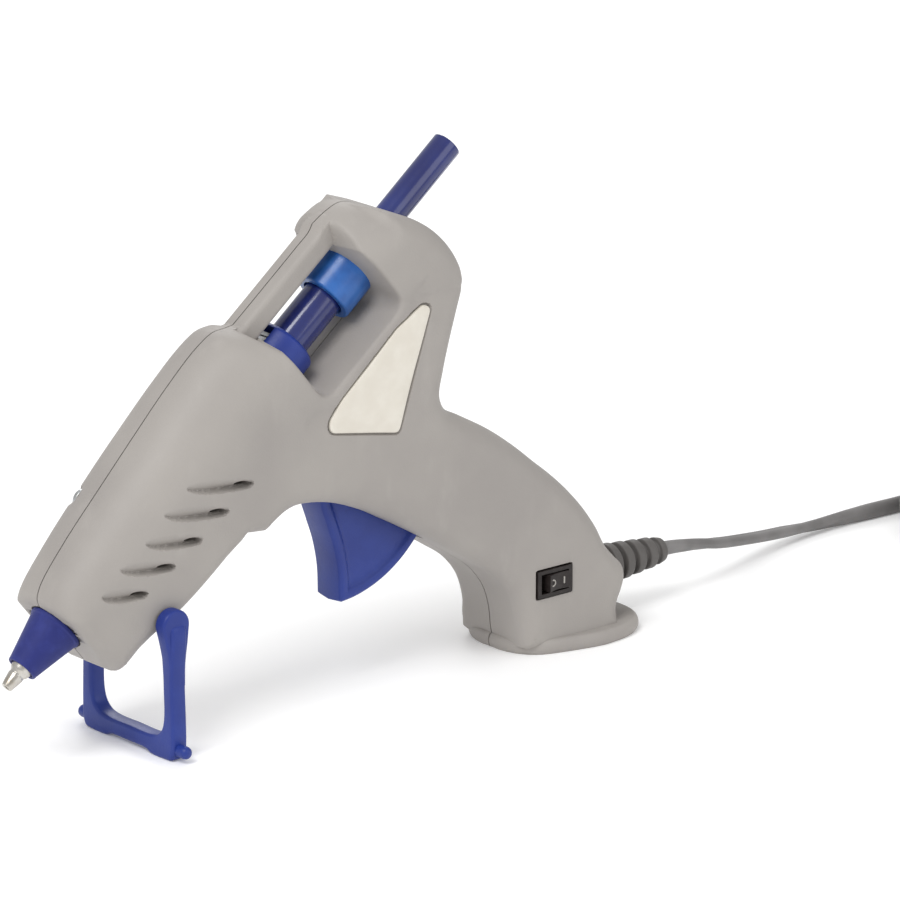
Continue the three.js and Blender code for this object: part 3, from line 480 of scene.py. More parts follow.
def distance(points, line, closed=True):
    """Distance of each point to a line, and the number of the nearest piece of it."""
    ends = np.roll(line, -1, 0) if closed else line[1:]
    starts = line if closed else line[:-1]
    best, nearest = np.full(len(points), 1e9), np.zeros(len(points), int)
    span = ends - starts
    size = np.maximum((span ** 2).sum(1), 1e-12)
    for block in range(0, len(points), 4000):
        gap = points[block:block + 4000, None] - starts[None]
        share = np.clip((gap * span).sum(-1) / size, 0, 1)
        square = ((gap - share[..., None] * span) ** 2).sum(-1)
        nearest[block:block + 4000] = square.argmin(1)
        best[block:block + 4000] = np.sqrt(square.min(1))
    return best, nearest


def inside(points, line):
    """True for points within a closed line, by counting crossings."""
    result = np.zeros(len(points), bool)
    x, z = points[:, :1], points[:, 1:]
    a, b = line, np.roll(line, -1, 0)
    climb = np.where(b[:, 1] == a[:, 1], 1e-12, b[:, 1] - a[:, 1])
    for block in range(0, len(points), 8000):
        px, pz = x[block:block + 8000], z[block:block + 8000]
        between = (a[:, 1] > pz) != (b[:, 1] > pz)
        crossing = (b[:, 0] - a[:, 0]) * (pz - a[:, 1]) / climb + a[:, 0]
        result[block:block + 8000] = (between & (px < crossing)).sum(1) % 2 == 1
    return result


def rings(line, offsets):
    """Copies of a closed line moved to each offset along its normals, on the inner side."""
    ahead = np.roll(line, -1, 0) - np.roll(line, 1, 0)
    normal = np.stack([-ahead[:, 1], ahead[:, 0]], 1) / np.linalg.norm(ahead, axis=1, keepdims=True)
    area = (line[:, 0] * np.roll(line[:, 1], -1) - line[:, 1] * np.roll(line[:, 0], -1)).sum()
    return np.concatenate([line + normal * np.sign(area) * offset for offset in offsets])


def hexagonal(low, high, spacing):
    """Points of a hexagonal lattice over a box."""
    x = np.arange(low[0], high[0], spacing)
    z = np.arange(low[1], high[1], spacing * 0.866)
    gx, gz = np.meshgrid(x, z)
    gx = gx + (np.arange(len(z)) % 2)[:, None] * spacing / 2
    return np.stack([gx.ravel(), gz.ravel()], 1)


ring_share = 0.93


def tiling(outline, holes, extra, spacing, edge_offsets, hole_offsets):
    """Triangles over the inside of an outline, less its holes: finer near every edge, even elsewhere.

    A ring's point is kept where it is at least ring_share of its own offset away from the whole edge.
    """
    near = rings(outline, edge_offsets)
    keep = distance(near, outline)[0] > np.repeat(edge_offsets, len(outline)) * ring_share
    lattice = hexagonal(outline.min(0), outline.max(0), spacing)
    lattice = lattice[distance(lattice, outline)[0] > edge_offsets[-1] + spacing * 0.45]
    free = [near[keep], lattice]
    for hole in holes:
        around = rings(hole, [-offset for offset in hole_offsets])
        keep = distance(around, hole)[0] > np.repeat(hole_offsets, len(hole)) * ring_share
        free = [cloud[distance(cloud, hole)[0] > hole_offsets[-1] + 0.1] for cloud in free] + [around[keep]]
    free = np.concatenate(free + extra)
    free = free[inside(free, outline) & (distance(free, outline)[0] > edge_offsets[0] * 0.9)]
    for hole in holes:
        free = free[~inside(free, hole) & (distance(free, hole)[0] > hole_offsets[0] * 0.9)]
    points = np.concatenate([outline, *holes, free])
    edges, start = [], 0
    for loop in (outline, *holes):
        index = np.arange(start, start + len(loop))
        edges.append(np.stack([index, np.roll(index, -1)], 1))
        start += len(loop)
    corners = [Vector(p) for p in points.tolist()]
    made = delaunay_2d_cdt(corners, np.concatenate(edges).tolist(), [], 0, 1e-6)
    points = np.array([tuple(p) for p in made[0]])
    triangles = np.array([face for face in made[2] if len(face) == 3])
    middle = points[triangles].mean(1)
    keep = inside(middle, outline)
    for hole in holes:
        keep &= ~inside(middle, hole)
    triangles = triangles[keep]
    used = np.unique(triangles)
    renumber = np.full(len(points), -1)
    renumber[used] = np.arange(len(used))
    return points[used], renumber[triangles]


def loop_of(points, spacing, corner=1.0):
    """A closed line through straight-sided corners, each cut by a round of that radius."""
    points = np.asarray(points, float)
    before, after = np.roll(points, 1, 0) - points, np.roll(points, -1, 0) - points
    before /= np.linalg.norm(before, axis=1, keepdims=True)
    after /= np.linalg.norm(after, axis=1, keepdims=True)
    t = np.linspace(0, 1, 7)[None, :, None]
    start, end = points + before * corner, points + after * corner
    bend = (1 - t) ** 2 * start[:, None] + 2 * t * (1 - t) * points[:, None] + t ** 2 * end[:, None]
    line = np.concatenate([bend.reshape(-1, 2), bend[0, :1]])
    along = np.concatenate([[0], np.cumsum(np.linalg.norm(np.diff(line, axis=0), axis=1))])
    even = np.linspace(0, along[-1], round(along[-1] / spacing), endpoint=False)
    return np.stack([np.interp(even, along, line[:, c]) for c in (0, 1)], 1)


def soft_step(value, low, high):
    """0 below low, 1 above high, smooth between."""
    t = np.clip((value - low) / (high - low), 0, 1)
    return t * t * (3 - 2 * t)


def soft_min(a, b, width):
    """The smaller of two heights, with the crease between them rounded over a width."""
    share = np.clip(0.5 + 0.5 * (b - a) / width, 0, 1)
    return b + (a - b) * share - width * share * (1 - share)


def quarter(distance_in, radius):
    """How far a rounded edge of that radius has climbed at a distance in from it."""
    short = 1 - np.clip(distance_in / radius, 0, 1)
    return radius * np.sqrt(1 - short ** 2)


def soften(values, width=9):
    """A running mean along the outline, so that the edge radius changes gradually."""
    padded = np.concatenate([values[:1].repeat(width), values, values[-1:].repeat(width)])
    return np.convolve(padded, np.ones(2 * width + 1) / (2 * width + 1), "same")[width:-width]


lines = [smooth_line(points, 0.7)[:-1] for points, radius in runs]
outline = np.concatenate(lines)
edge_radius = np.concatenate([np.full(len(line), float(run[1])) for line, run in zip(lines, runs)])
crown_line = np.concatenate([lines[0], lines[1], lines[2][:14]])
crown_s, crown_p = along_barrel(*crown_line.T)
crown_order = np.argsort(crown_s)
rounded = slice(len(lines[0]), None)
rounded_radius = soften(edge_radius[rounded])

window = loop_of([at(window_front, window_floor), at(window_rear, window_floor), at(window_rear, bar_inner),
                  at(window_front, bar_inner)], 0.6, np.array([[3.2], [3.2], [0.5], [0.5]]))
label_loop = loop_of([[73.8, 91.6], [64.2, 63.2], [44.0, 67.0], [43.6, 69.6], [47.3, 74.4], [63.6, 88.4],
                      [71.6, 92.8]], 0.6, 1.2)
switch_loop = loop_of([[106.5, 13.8], [117.9, 13.8], [117.9, 21.2], [106.5, 21.2]], 0.6, 0.5)

# Five slanted scoops on each side let the heater's warmth out, each with a slot at its deeper end.
vent_ends = [[[3.4, 62.3], [21.9, 60.0]], [[-2.7, 57.2], [14.8, 54.9]], [[-7.7, 51.5], [7.4, 49.6]],
             [[-14.2, 46.6], [0.1, 44.8]], [[-19.2, 41.2], [-7.2, 39.7]]]
vent_half = 1.7
vent_depth = 2.7


def vent_frame(ends, points):
    """Share along a scoop, from its shallow end, and the distance across it, for each point."""
    a, b = np.array(ends[0], float), np.array(ends[1], float)
    size = np.linalg.norm(b - a)
    gap = points - a
    return gap @ (b - a) / size ** 2, gap @ [a[1] - b[1], b[0] - a[0]] / size


def vent_slot(ends):
    """The lens-shaped slot at a scoop's deeper end."""
    a, b = np.array(ends[0], float), np.array(ends[1], float)
    along = (b - a) / np.linalg.norm(b - a)
    upward = np.array([-along[1], along[0]])
    angle = np.linspace(0, 2 * np.pi, 22, endpoint=False)[:, None]
    return a + (b - a) * 0.85 + along * 2.1 * np.cos(angle) + upward * 0.68 * np.sin(angle)


def shoulder_at(p):
    """Where the barrel's rear end stands, leaning forward as it rises."""
    return window_front - 0.5 - 0.33 * np.maximum(p - 8, 0)


def wall_at(p):
    """Where the block's front wall stands beside the bar, leaning back as it rises."""
    return window_rear + 0.45 * (p - bar_inner)


screw_places = [at(44, 11.2), [33.3, 55.9], at(134, -10.5), [93, 38], [120, 28]]
screw_recess, recess_floor = 3.0, 6.12
extra = [rings(label_loop, [-0.9, -0.35, -0.03, 0.3])]
for ends in vent_ends:
    lattice = hexagonal(np.min(ends, 0) - [1, 2.6], np.max(ends, 0) + [1, 2.6], 0.36)
    share, across = vent_frame(ends, lattice)
    extra.append(lattice[(np.abs(across) < 2.0) & (share > -0.06) & (share < 1.06)])
turn = np.linspace(0, 2 * np.pi, 28, endpoint=False)[:, None]
for x, z in screw_places:
    extra += [np.hstack([x + r * np.cos(turn), z + r * np.sin(turn)]) for r in (2.2, 2.94, 3.02, 3.5)]
crease = np.array([-2, -1.5, -1.1, -0.7, -0.4, -0.1, 0.0, 0.15, 0.4, 0.7, 0.95, 1.3, 1.7, 2.2])
gap, up = np.meshgrid(crease, np.arange(bar_inner + 0.2, 17.2, 0.42))
extra.append(np.stack(at(shoulder_at(up) - gap, up), -1).reshape(-1, 2))
extra.append(np.stack(at(wall_at(up) + gap, up), -1).reshape(-1, 2))
edge_offsets = [0.02, 0.09, 0.22, 0.42, 0.7, 1.05, 1.5, 2.05, 2.7, 3.5, 4.4]
hole_offsets = [0.02, 0.4, 0.8, 1.0, 1.25, 1.6, 2.1]


def side_height(points, side):
    """The outer surface's distance from the middle plane over the side view.

    The barrel and the block behind the window have an elliptical top, other edges are quarter rounds, and
    the bar, window, label, vents and screw recesses are cut from that.
    """
    x, z = points.T
    s, p = along_barrel(x, z)
    half = nose_half + (body_half - nose_half) * soft_step(s, 2, 60)
    half = half - (body_half - grip_half) * soft_step(x, 74, 104)
    half = half + 1.1 * np.exp(-np.maximum(z - 3.2, 0) / 2.4) * soft_step(x, 108, 122)
    half = half + 0.3 * soft_step(z, 94.4, 95.4) * (x > 40)

    crown = np.interp(s, crown_s[crown_order], crown_p[crown_order])
    lift = np.clip((p - 1.5) / np.maximum(crown - 1.5, 1), 0, 1)
    bulge = 2.25 - 0.3 * soft_step(s, 121, 126)
    dome = half * (1 - lift ** bulge) ** (1 / bulge)
    gap, nearest = distance(points, outline[rounded], closed=False)
    radius = np.maximum(rounded_radius[nearest], 0.3)
    height = soft_min(dome, half - radius + quarter(gap, radius), 0.5)

    edge = np.minimum(bar_outer + 1.2 * soft_step(s, 122, 126) - p, p - bar_inner)
    bar = bar_half - 1.3 + quarter(edge, 1.3)
    shoulder = shoulder_at(p) - s
    lean = s - wall_at(p)
    above = (p > bar_inner) & (s < 140)
    body = height - 1.2 + quarter(shoulder - 0.15, 1.2)
    front = np.where(shoulder > 0.15, body, bar + (height - 1.2 - bar) * np.clip(shoulder / 0.15, 0, 1))
    rear = np.where(lean > 0.7, height - 1.0 + quarter(lean - 0.7, 1.0),
                    bar + (height - 1.0 - bar) * np.clip(lean / 0.7, 0, 1))
    on_bar = np.minimum(bar, height)
    middle_of_bar = (window_front + window_rear) / 2
    beside = np.where(s < middle_of_bar, np.maximum(front, on_bar), np.maximum(rear, on_bar))
    height = np.where(above & (s > 88), np.minimum(beside, height), height)

    gap, _ = distance(points, window)
    floor_wall = np.where(gap < 0.8, np.clip(gap / 0.8, 0, 1) * (height - 1.2),
                          height - 1.2 + quarter(gap - 0.8, 1.2))
    by_bar = (p > bar_inner) & (s > window_front - 4) & (s < window_rear + 4)
    height = np.where(by_bar, height, floor_wall)
    ledge = soft_step(gap, 3.4, 4.6) * soft_step(11 - gap, 0, 3) * (p < window_floor) * (s > 88)
    height = height - 0.3 * ledge

    gap, _ = distance(points, label_loop)
    within = inside(points, label_loop)
    height = height - 0.8 * np.where(within, 1, soft_step(0.04 - gap, -0.36, 0.03))

    for ends in vent_ends:
        share, across = vent_frame(ends, points)
        widen = np.sqrt(np.clip(1 - (1 - share / 0.4) ** 2, 0, 1))
        narrow = 1 - 0.45 * np.clip((share - 0.4) / 0.6, 0, 1) ** 2
        end = np.sqrt(np.clip(1 - np.maximum((share - 0.92) / 0.08, 0) ** 2, 0, 1))
        width = vent_half * np.where(share < 0.4, widen, narrow * end)
        across = across / np.maximum(width, 1e-3)
        under = np.clip((1 + across) / 0.4, 0, 1) ** 0.5
        bowl = np.where(across < -0.6, under, np.clip((1 - across) / 1.6, 0, 1) ** 1.7)
        within = (np.abs(across) < 1) & (share > 0) & (share < 1)
        height = height - vent_depth * bowl * within * np.clip(share, 0, 1) ** 0.4

    if side > 0:
        for sx, sz in screw_places:
            away = np.hypot(x - sx, z - sz)
            height = np.where(away < screw_recess, np.minimum(height, recess_floor), height)
    return height


def openings(points):
    """How far from the middle plane a half starts: the parting gap, or the hole that a piece comes out by."""
    x, z = points.T
    s, p = along_barrel(x, z)
    tubes = [(p, 6.85, s < 21), (p, 8.1, (s > 91) & (s < window_front + 0.05)),
             (p, 4.4, (s > 130) & (z > 90)), (z - 12.9, 3.4, x > 131)]
    base = np.full(len(points), parting)
    for across, bore, near in tubes:
        hole = np.sqrt(np.maximum(bore ** 2 - across ** 2, 0))
        base = np.where(near, np.maximum(base, hole), base)
    near_edge = distance(points, outline)[0] < wall_thickness + 1
    trigger_slot = (x > 48.2) & (x < 79.6) & (z < 53.5) & (z > 28) & near_edge
    return np.where(trigger_slot, np.maximum(base, 5.1), base)


def inner_height(points, side):
    """The inner surface: the outer one moved in by the wall, found by rolling a ball under it."""
    step = 0.7
    low = outline.min(0) - 4
    count = np.ceil((outline.max(0) + 4 - low) / step).astype(int)
    gx, gz = np.meshgrid(np.arange(count[0]), np.arange(count[1]), indexing="ij")
    raster = np.stack([gx.ravel(), gz.ravel()], 1) * step + low
    filled = inside(raster, outline) & ~inside(raster, window)
    heights = np.full(len(raster), -10.0)
    heights[filled] = side_height(raster[filled], side)
    heights = heights.reshape(gx.shape)
    reach_cells = int(wall_thickness / step)
    lowest = heights - wall_thickness
    for i in range(-reach_cells, reach_cells + 1):
        for j in range(-reach_cells, reach_cells + 1):
            drop = wall_thickness ** 2 - (i * i + j * j) * step * step
            if drop > 0:
                lowest = np.minimum(lowest, np.roll(heights, (i, j), (0, 1)) - math.sqrt(drop))
    place = (points - low) / step
    cell = np.floor(place).astype(int)
    fx, fz = (place - cell).T
    i, j = cell.T
    return (lowest[i, j] * (1 - fx) * (1 - fz) + lowest[i + 1, j] * fx * (1 - fz)
            + lowest[i, j + 1] * (1 - fx) * fz + lowest[i + 1, j + 1] * fx * fz)


shell_grey = Finish("shell_grey", Specular_IOR_Level=0.4)
clouds = shell_grey.noise(0.03, 3)
spark = shell_grey.noise(0.00045, 2)
rub = shell_grey.noise(0.006, 5, (1, 1, 0.35))
base = shell_grey.mix(clouds.step(0.3, 0.7), shade(152, 147, 143), shade(161, 156, 151))
shell_grey.set(Base_Color=shell_grey.mix(rub.step(0.55, 0.85) * 0.35, base, shade(175, 170, 165)),
               Roughness=0.5 + spark * 0.12 - rub.step(0.6, 0.8) * 0.06)
shell_grey.relief(spark, 0.00004)

foot_front, foot_rear, foot_thickness = 103.0, 142.4, 3.4


def foot_half(side):
    """Half of the foot plate: a D-shaped plan carried up through a fully rounded edge, and capped."""
    bend = np.radians(np.linspace(0, 86, 20))
    arc = np.stack([foot_rear - 21.4 + 21.4 * np.cos(bend) ** 0.68, 16.9 * np.sin(bend) ** 0.68], 1)
    corner = [[113, 14.4], [107.6, 12.2], [104.4, 8.4], [foot_front, 3.6], [foot_front, 0]]
    plan = smooth_line([*arc, *corner], 0.9)
    inner = np.array([[foot_front + 22, 0]])
    lift = np.radians(np.linspace(-62, 90, 12))
    heights = foot_thickness * (0.45 + 0.55 * np.sin(lift))
    profile = np.stack([heights - heights[0], 1.3 * (1 - np.cos(lift))], 1)
    stretch = plan - inner
    size = np.linalg.norm(stretch, axis=1, keepdims=True)
    grid = np.array([np.column_stack([inner + stretch * (1 - inset / size), np.full(len(plan), height)])
                     for height, inset in profile])
    grid[..., 1] = np.maximum(grid[..., 1], 0) + parting
    middle = np.stack([np.full(len(profile), inner[0, 0]), np.full(len(profile), parting), profile[:, 0]], 1)
    grid = np.concatenate([grid, middle[:, None]], 1)
    return grid * [1, side, 1]


def housing_half(name, side):
    """The tiled side view raised to its outer and inner heights, joined at every rim, with half the foot."""
    holes = [window, *[vent_slot(ends) for ends in vent_ends]] + ([switch_loop] if side < 0 else [])
    points, triangles = tiling(outline, holes, extra, 1.0, edge_offsets, hole_offsets)
    on_rim = (distance(points, outline)[0] < 0.005) | (distance(points, window)[0] < 0.005)
    start = openings(points)
    outer = np.where(on_rim, start, np.maximum(side_height(points, side), start))
    inner = np.minimum(np.maximum(inner_height(points, side), start), outer)
    number = np.arange(len(points))
    under = np.where(on_rim, number, number + len(points))
    sides = np.concatenate([triangles[:, [0, 1]], triangles[:, [1, 2]], triangles[:, [2, 0]]])
    key = sides[:, 0] * len(points) + sides[:, 1]
    free = sides[~np.isin(sides[:, 1] * len(points) + sides[:, 0], key)]
    free = free[~(on_rim[free[:, 0]] & on_rim[free[:, 1]])]
    walls = np.stack([free[:, 1], free[:, 0], under[free[:, 0]], under[free[:, 1]]], 1)
    both = np.concatenate([points, points])
    made = mesh_piece(name, row(both[:, 0], side * np.concatenate([outer, inner]), both[:, 1]),
                      [triangles, under[triangles][:, ::-1], walls], shell_grey)
    plate = foot_half(side)
    foot = grid_piece(name + "_foot", row(plate[..., 0], plate[..., 1], plate[..., 2]), shell_grey)
    whole = join(name, [made, foot])
    whole.data.set_sharp_from_angle(angle=math.radians(42))
    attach(whole, "housing")
    return whole


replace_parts(housing_half("shell_left", -1), "left_shell")
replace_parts(housing_half("shell_right", 1), "right_shell")

# ---- Labels -----------------------------------------------------------------------------------------
# A blank plate of off-white satin film sits in a shallow recess on each side of the gun. It is die-cut with
# rounded corners, stuck down, and soft along its edge.

label_film = Finish("label_film", Roughness=0.35, Coat_Weight=0.25, Coat_Roughness=0.3)
film = label_film.noise(0.004, 4)
fibre = label_film.noise(0.0007, 2)
label_film.set(Base_Color=label_film.mix(film.step(0.3, 0.8), shade(212, 206, 194), shade(219, 214, 203)),
               Roughness=0.32 + fibre * 0.12)
label_film.relief(fibre, 0.000015)


def label(name, side):
    """The label's outline drawn in step by step towards its middle, rounded over its edge."""
    middle = label_loop.mean(0)
    insets = np.array([0.3, 0.3, 0.33, 0.45, 0.8, 3.0, 6.0])
    levels = np.array([-0.95, -0.5, -0.28, -0.16, -0.1, -0.06, -0.05])
    stretch = label_loop - middle
    size = np.linalg.norm(stretch, axis=1, keepdims=True)
    grid = np.array([middle + stretch * (1 - inset / size) for inset in insets])
    depth = body_half + levels[:, None] + 0 * label_loop[:, 0]
    depth = depth - (body_half - grip_half) * soft_step(grid[..., 0], 74, 104)
    piece = grid_piece(name, row(grid[..., 0], side * depth, grid[..., 1]), label_film)
    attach(piece, "housing")
    return piece


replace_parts(label("label_film_left", -1), "label_left")
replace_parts(label("label_film_right", 1), "label_right")

# ---- Nozzle and its sleeve --------------------------------------------------------------------------
# A turned steel nozzle with a narrow tip, a step and a wrench groove, in a soft blue silicone cone that
# keeps fingers off the hot metal and pushes into the housing's front.


def turned(name, profile, finish, columns=64, sharp=35):
    """A profile of station and radius turned round the stick's line. It closes on itself or on the line."""
    profile = np.array(profile, float)
    angle = np.linspace(0, 2 * np.pi, columns, endpoint=False)
    s, r = profile[:, :1], np.maximum(profile[:, 1:], 0)
    p, y = r * np.cos(angle), r * np.sin(angle)
    x, z = at(s, p)
    closed = bool((profile[[0, -1], 1] > 0).all())
    return grid_piece(name, row(x, y, z), finish, wrap_rows=closed, sharp=sharp)


def rounded_profile(corners, radius, count=5):
    """A profile with each inner corner cut by a small round, short enough for its neighbours."""
    corners = np.array(corners, float)
    parts = [corners[:1]]
    for before, here, after in zip(corners[:-2], corners[1:-1], corners[2:]):
        a, b = before - here, after - here
        size = min(radius, np.linalg.norm(a) * 0.4, np.linalg.norm(b) * 0.4)
        a, b = a / np.linalg.norm(a) * size, b / np.linalg.norm(b) * size
        t = np.linspace(0, 1, count)[:, None]
        parts.append(here + (1 - t) ** 2 * a + t ** 2 * b)
    parts.append(corners[-1:])
    return np.concatenate(parts)


nozzle_steel = Finish("nozzle_steel", Base_Color=shade(196, 194, 188), Metallic=1.0, Roughness=0.25)
lathe = nozzle_steel.noise(0.0003, 2, (3, 0.3, 0.3))
heat = nozzle_steel.noise(0.004, 3)
nozzle_steel.set(Base_Color=nozzle_steel.mix(heat.step(0.35, 0.75), shade(205, 202, 196),
                                             shade(168, 158, 142)), Roughness=0.2 + lathe * 0.18)
nozzle_steel.relief(lathe, 0.00001)
nozzle = turned("nozzle_tip", rounded_profile(
    [[8, 0], [8, 0.7], [0, 0.7], [0, 1.25], [1.1, 1.5], [3.4, 1.9], [3.8, 1.75], [4.6, 2.3], [6.3, 2.75],
     [6.6, 2.5], [17, 2.5], [17, 4.3], [20.6, 4.3], [20.6, 3], [26, 3], [26, 0]], 0.3), nozzle_steel)
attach(nozzle, "housing")
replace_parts(nozzle, "nozzle")

silicone_blue = Finish("silicone_blue", Roughness=0.62, Sheen_Weight=0.1, Specular_IOR_Level=0.3)
bloom = silicone_blue.noise(0.003, 4)
silicone_blue.set(Base_Color=silicone_blue.mix(bloom.step(0.35, 0.8), shade(32, 40, 108), shade(42, 51, 122)),
                  Roughness=0.56 + bloom * 0.14)
silicone_blue.relief(silicone_blue.noise(0.0004, 2), 0.00003)
cone = turned("nozzle_cone", rounded_profile(
    [[18.4, 2.9], [5.7, 2.9], [5.4, 3.2], [5.5, 3.6], [6.4, 3.75], [16.9, 6.15], [17.3, 6.5], [18.1, 6.5],
     [18.4, 6.2], [18.4, 2.9]], 0.3)[:-1], silicone_blue)
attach(cone, "housing")
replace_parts(cone, "nozzle_sleeve")

# ---- Glue stick, carriage and stick guide -----------------------------------------------------------
# The stick is clear navy hot-melt, cut square. The carriage's blue collar slides it forward through the
# window, and a brighter collar in the rear wall guides it.

stick_radius, stick_front, stick_end = 3.5, 64.0, 164.0
glue_navy = Finish("glue_navy", Roughness=0.16, Coat_Weight=0.4, Coat_Roughness=0.08)
streak = glue_navy.noise(0.002, 3, (0.15, 0.15, 0.15))
glue_navy.set(Base_Color=glue_navy.mix(streak.step(0.3, 0.8), shade(24, 32, 92), shade(36, 50, 120)),
              Roughness=0.14 + glue_navy.noise(0.001, 3) * 0.12)
glue_navy.relief(glue_navy.noise(0.0015, 3), 0.00002)
stick_corners = [[stick_front, 0], [stick_front, stick_radius], [stick_end, stick_radius], [stick_end, 0]]
stick = turned("hot_melt_stick", rounded_profile(stick_corners, 0.35), glue_navy)
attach(stick, "glue_stick")
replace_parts(stick, "glue_stick")

collar_blue = Finish("collar_blue", Roughness=0.3, Coat_Weight=0.15, Coat_Roughness=0.2)
flow = collar_blue.noise(0.005, 3)
collar_blue.set(Base_Color=collar_blue.mix(flow.step(0.3, 0.7), shade(26, 80, 150), shade(40, 98, 172)),
                Roughness=0.26 + flow * 0.12)
collar_blue.relief(collar_blue.noise(0.0005, 2), 0.00002)
guide = turned("stick_collar", rounded_profile(
    [[116.5, 5.3], [116.5, 6.6], [116.9, 7.0], [127.8, 7.0], [128.1, 8.2], [129.8, 8.2], [129.8, 6.4],
     [135.5, 6.4], [135.5, 3.95], [127.4, 3.95], [126.4, 5.1], [117.2, 5.1], [116.5, 5.3]], 0.2)[:-1],
    collar_blue)
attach(guide, "housing")
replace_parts(guide, "stick_guide")

moulded_blue = Finish("moulded_blue", Roughness=0.4, Specular_IOR_Level=0.4)
swirl = moulded_blue.noise(0.012, 4)
pebble = moulded_blue.noise(0.0005, 2)
moulded_blue.set(Base_Color=moulded_blue.mix(swirl.step(0.3, 0.75), shade(28, 48, 126), shade(36, 58, 140)),
                 Roughness=0.34 + pebble * 0.14)
moulded_blue.relief(pebble, 0.00003)

# ---- Trigger ----------------------------------------------------------------------------------------
# A one-piece moulding in blue, 9.2 mm wide, each side dished inside a raised rim. Its hub turns on a steel
# pin under the barrel, and the slots in its two fork arms push the carriage.


def slab(name, loop, middle, half, edge, finish, place, holes=(), dish=0, rim=1.4, spacing=1.2):
    """A flat moulding between two faces, its edges rounded, with an optional dish in both faces.

    loop is drawn in the first two of its own axes, middle and half lie along the third, and place turns
    the three into drawing x, y and z.
    """
    offsets = [edge * part for part in (0.02, 0.1, 0.25, 0.45, 0.7, 1.0)]
    if dish:
        offsets += [rim, rim + 0.35, rim + 0.7, rim + 1.1]
    points, triangles = tiling(loop, list(holes), [], spacing, offsets, offsets)
    gap = np.min([distance(points, line)[0] for line in (loop, *holes)], axis=0)
    level = half - edge + quarter(gap, edge) - dish * soft_step(gap, rim, rim + 1.1)
    level = np.where(gap < 1e-3, 0, level)
    number = np.arange(len(points))
    under = np.where(gap < 1e-3, number, number + len(points))
    both = np.concatenate([points, points])
    third = middle + np.concatenate([level, -level])
    return mesh_piece(name, row(*place(both[:, 0], both[:, 1], third)),
                      [triangles, under[triangles][:, ::-1]], finish)


def sideways(u, v, w):
    """Drawn in the side view, thick across the gun."""
    return u, w, v


def across_gun(name, x, z, ends, profile, finish, columns=40):
    """A profile of place and radius turned round an axis that runs across the gun at x and z."""
    profile = np.array(profile, float)
    angle = np.linspace(0, 2 * np.pi, columns, endpoint=False)
    share, radius = profile[:, :1], profile[:, 1:]
    y = ends[0] + (ends[1] - ends[0]) * share + 0 * angle
    return grid_piece(name, row(x + radius * np.cos(angle), y, z + radius * np.sin(angle)), finish)


hub_x, hub_z, swing = 53.0, 54.5, 32.4
trigger_half = 4.6
front_turn, back_turn = math.radians(-87), math.radians(-31)
arc_turn = np.linspace(front_turn, back_turn, 9)
rear_arc = np.stack([hub_x + swing * np.cos(arc_turn), hub_z + swing * np.sin(arc_turn)], 1)
front_face = [[hub_x - 3.4, hub_z - 2], [49.3, 47.5], [51.2, 41.5], [53.1, 36], [54.4, 29.5], rear_arc[0]]
blade_loop = np.concatenate([smooth_line(front_face, 0.7)[:-1], smooth_line(rear_arc, 0.7)[:-1],
                             smooth_line([rear_arc[-1], [66, 47.6], [hub_x + 3, hub_z + 2]], 0.7)[:-1],
                             smooth_line([[hub_x + 3, hub_z + 2], [hub_x - 3.4, hub_z - 2]], 0.7)[:-1]])
blade = slab("trigger_blade", blade_loop, 0, trigger_half, 1.1, moulded_blue, sideways, dish=0.7, rim=2.0)
arm_inner, arm_outer = 7.4, 8.9
hub = across_gun("trigger_hub", hub_x, hub_z, (-arm_outer, arm_outer),
                 [[0, 2.1], [0, 3.7], [0.02, 4], [0.98, 4], [1, 3.7], [1, 2.1]], moulded_blue)
fork_x, fork_z = at(90.5, 0)
fork_reach = math.hypot(fork_x - hub_x, fork_z - hub_z)
lean_x, lean_z = (fork_x - hub_x) / fork_reach, (fork_z - hub_z) / fork_reach
fork_shape = [[0, -3.4], [34, -3], [34, -1.8], [fork_reach - 2.4, -1.8], [fork_reach - 2.4, 1.8], [34, 1.8],
              [34, 3], [0, 3.4]]
fork_loop = loop_of([[hub_x + lean_x * a - lean_z * b, hub_z + lean_z * a + lean_x * b]
                     for a, b in fork_shape], 0.6, 0.5)
arms = [slab(f"fork_{side}", fork_loop, side * (arm_inner + arm_outer) / 2, (arm_outer - arm_inner) / 2, 0.3,
             moulded_blue, sideways) for side in (-1, 1)]
trigger = join("trigger_moulding", [blade, hub, *arms])
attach(trigger, "trigger")
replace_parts(trigger, "trigger")

# ---- Carriage -----------------------------------------------------------------------------------------
# A blue sleeve with a wide collar slides on the barrel's line. A pocket in its top holds the steel pawl, and
# a trunnion on each side sits in the trigger's fork. A glossy navy tube behind it runs into the rear collar.

carriage_stations = rounded_profile(
    [[81, 3.9], [81, 5], [88, 5], [88, 7.5], [102.2, 7.5], [103, 6.7], [103, 3.9], [81, 3.9]], 0.35)[:-1]
fine = np.concatenate([np.linspace(a, b, max(2, int(np.linalg.norm(b - a) / 0.5)), endpoint=False)
                       for a, b in zip(carriage_stations, np.roll(carriage_stations, -1, 0))])
angle = np.linspace(0, 2 * np.pi, 96, endpoint=False)
station, radius = fine[:, :1] + 0 * angle, fine[:, 1:] + 0 * angle
in_pocket = (np.abs(station - 97) < 4.4) & (np.abs(np.sin(angle) * radius) < 2.25) & (np.cos(angle) > 0)
radius = np.where(in_pocket & (radius > 4.6), 4.3, radius)
carriage_x, carriage_z = at(station, radius * np.cos(angle))
sleeve = grid_piece("carriage_sleeve", row(carriage_x, radius * np.sin(angle), carriage_z), moulded_blue,
                    wrap_rows=True, sharp=35)
trunnions = [across_gun(f"trunnion_{side}", fork_x, fork_z, (side * 5.5, side * 9.2),
                        [[0, 1.2], [0.02, 1.5], [0.9, 1.5], [1, 1.2]], moulded_blue, 24) for side in (-1, 1)]
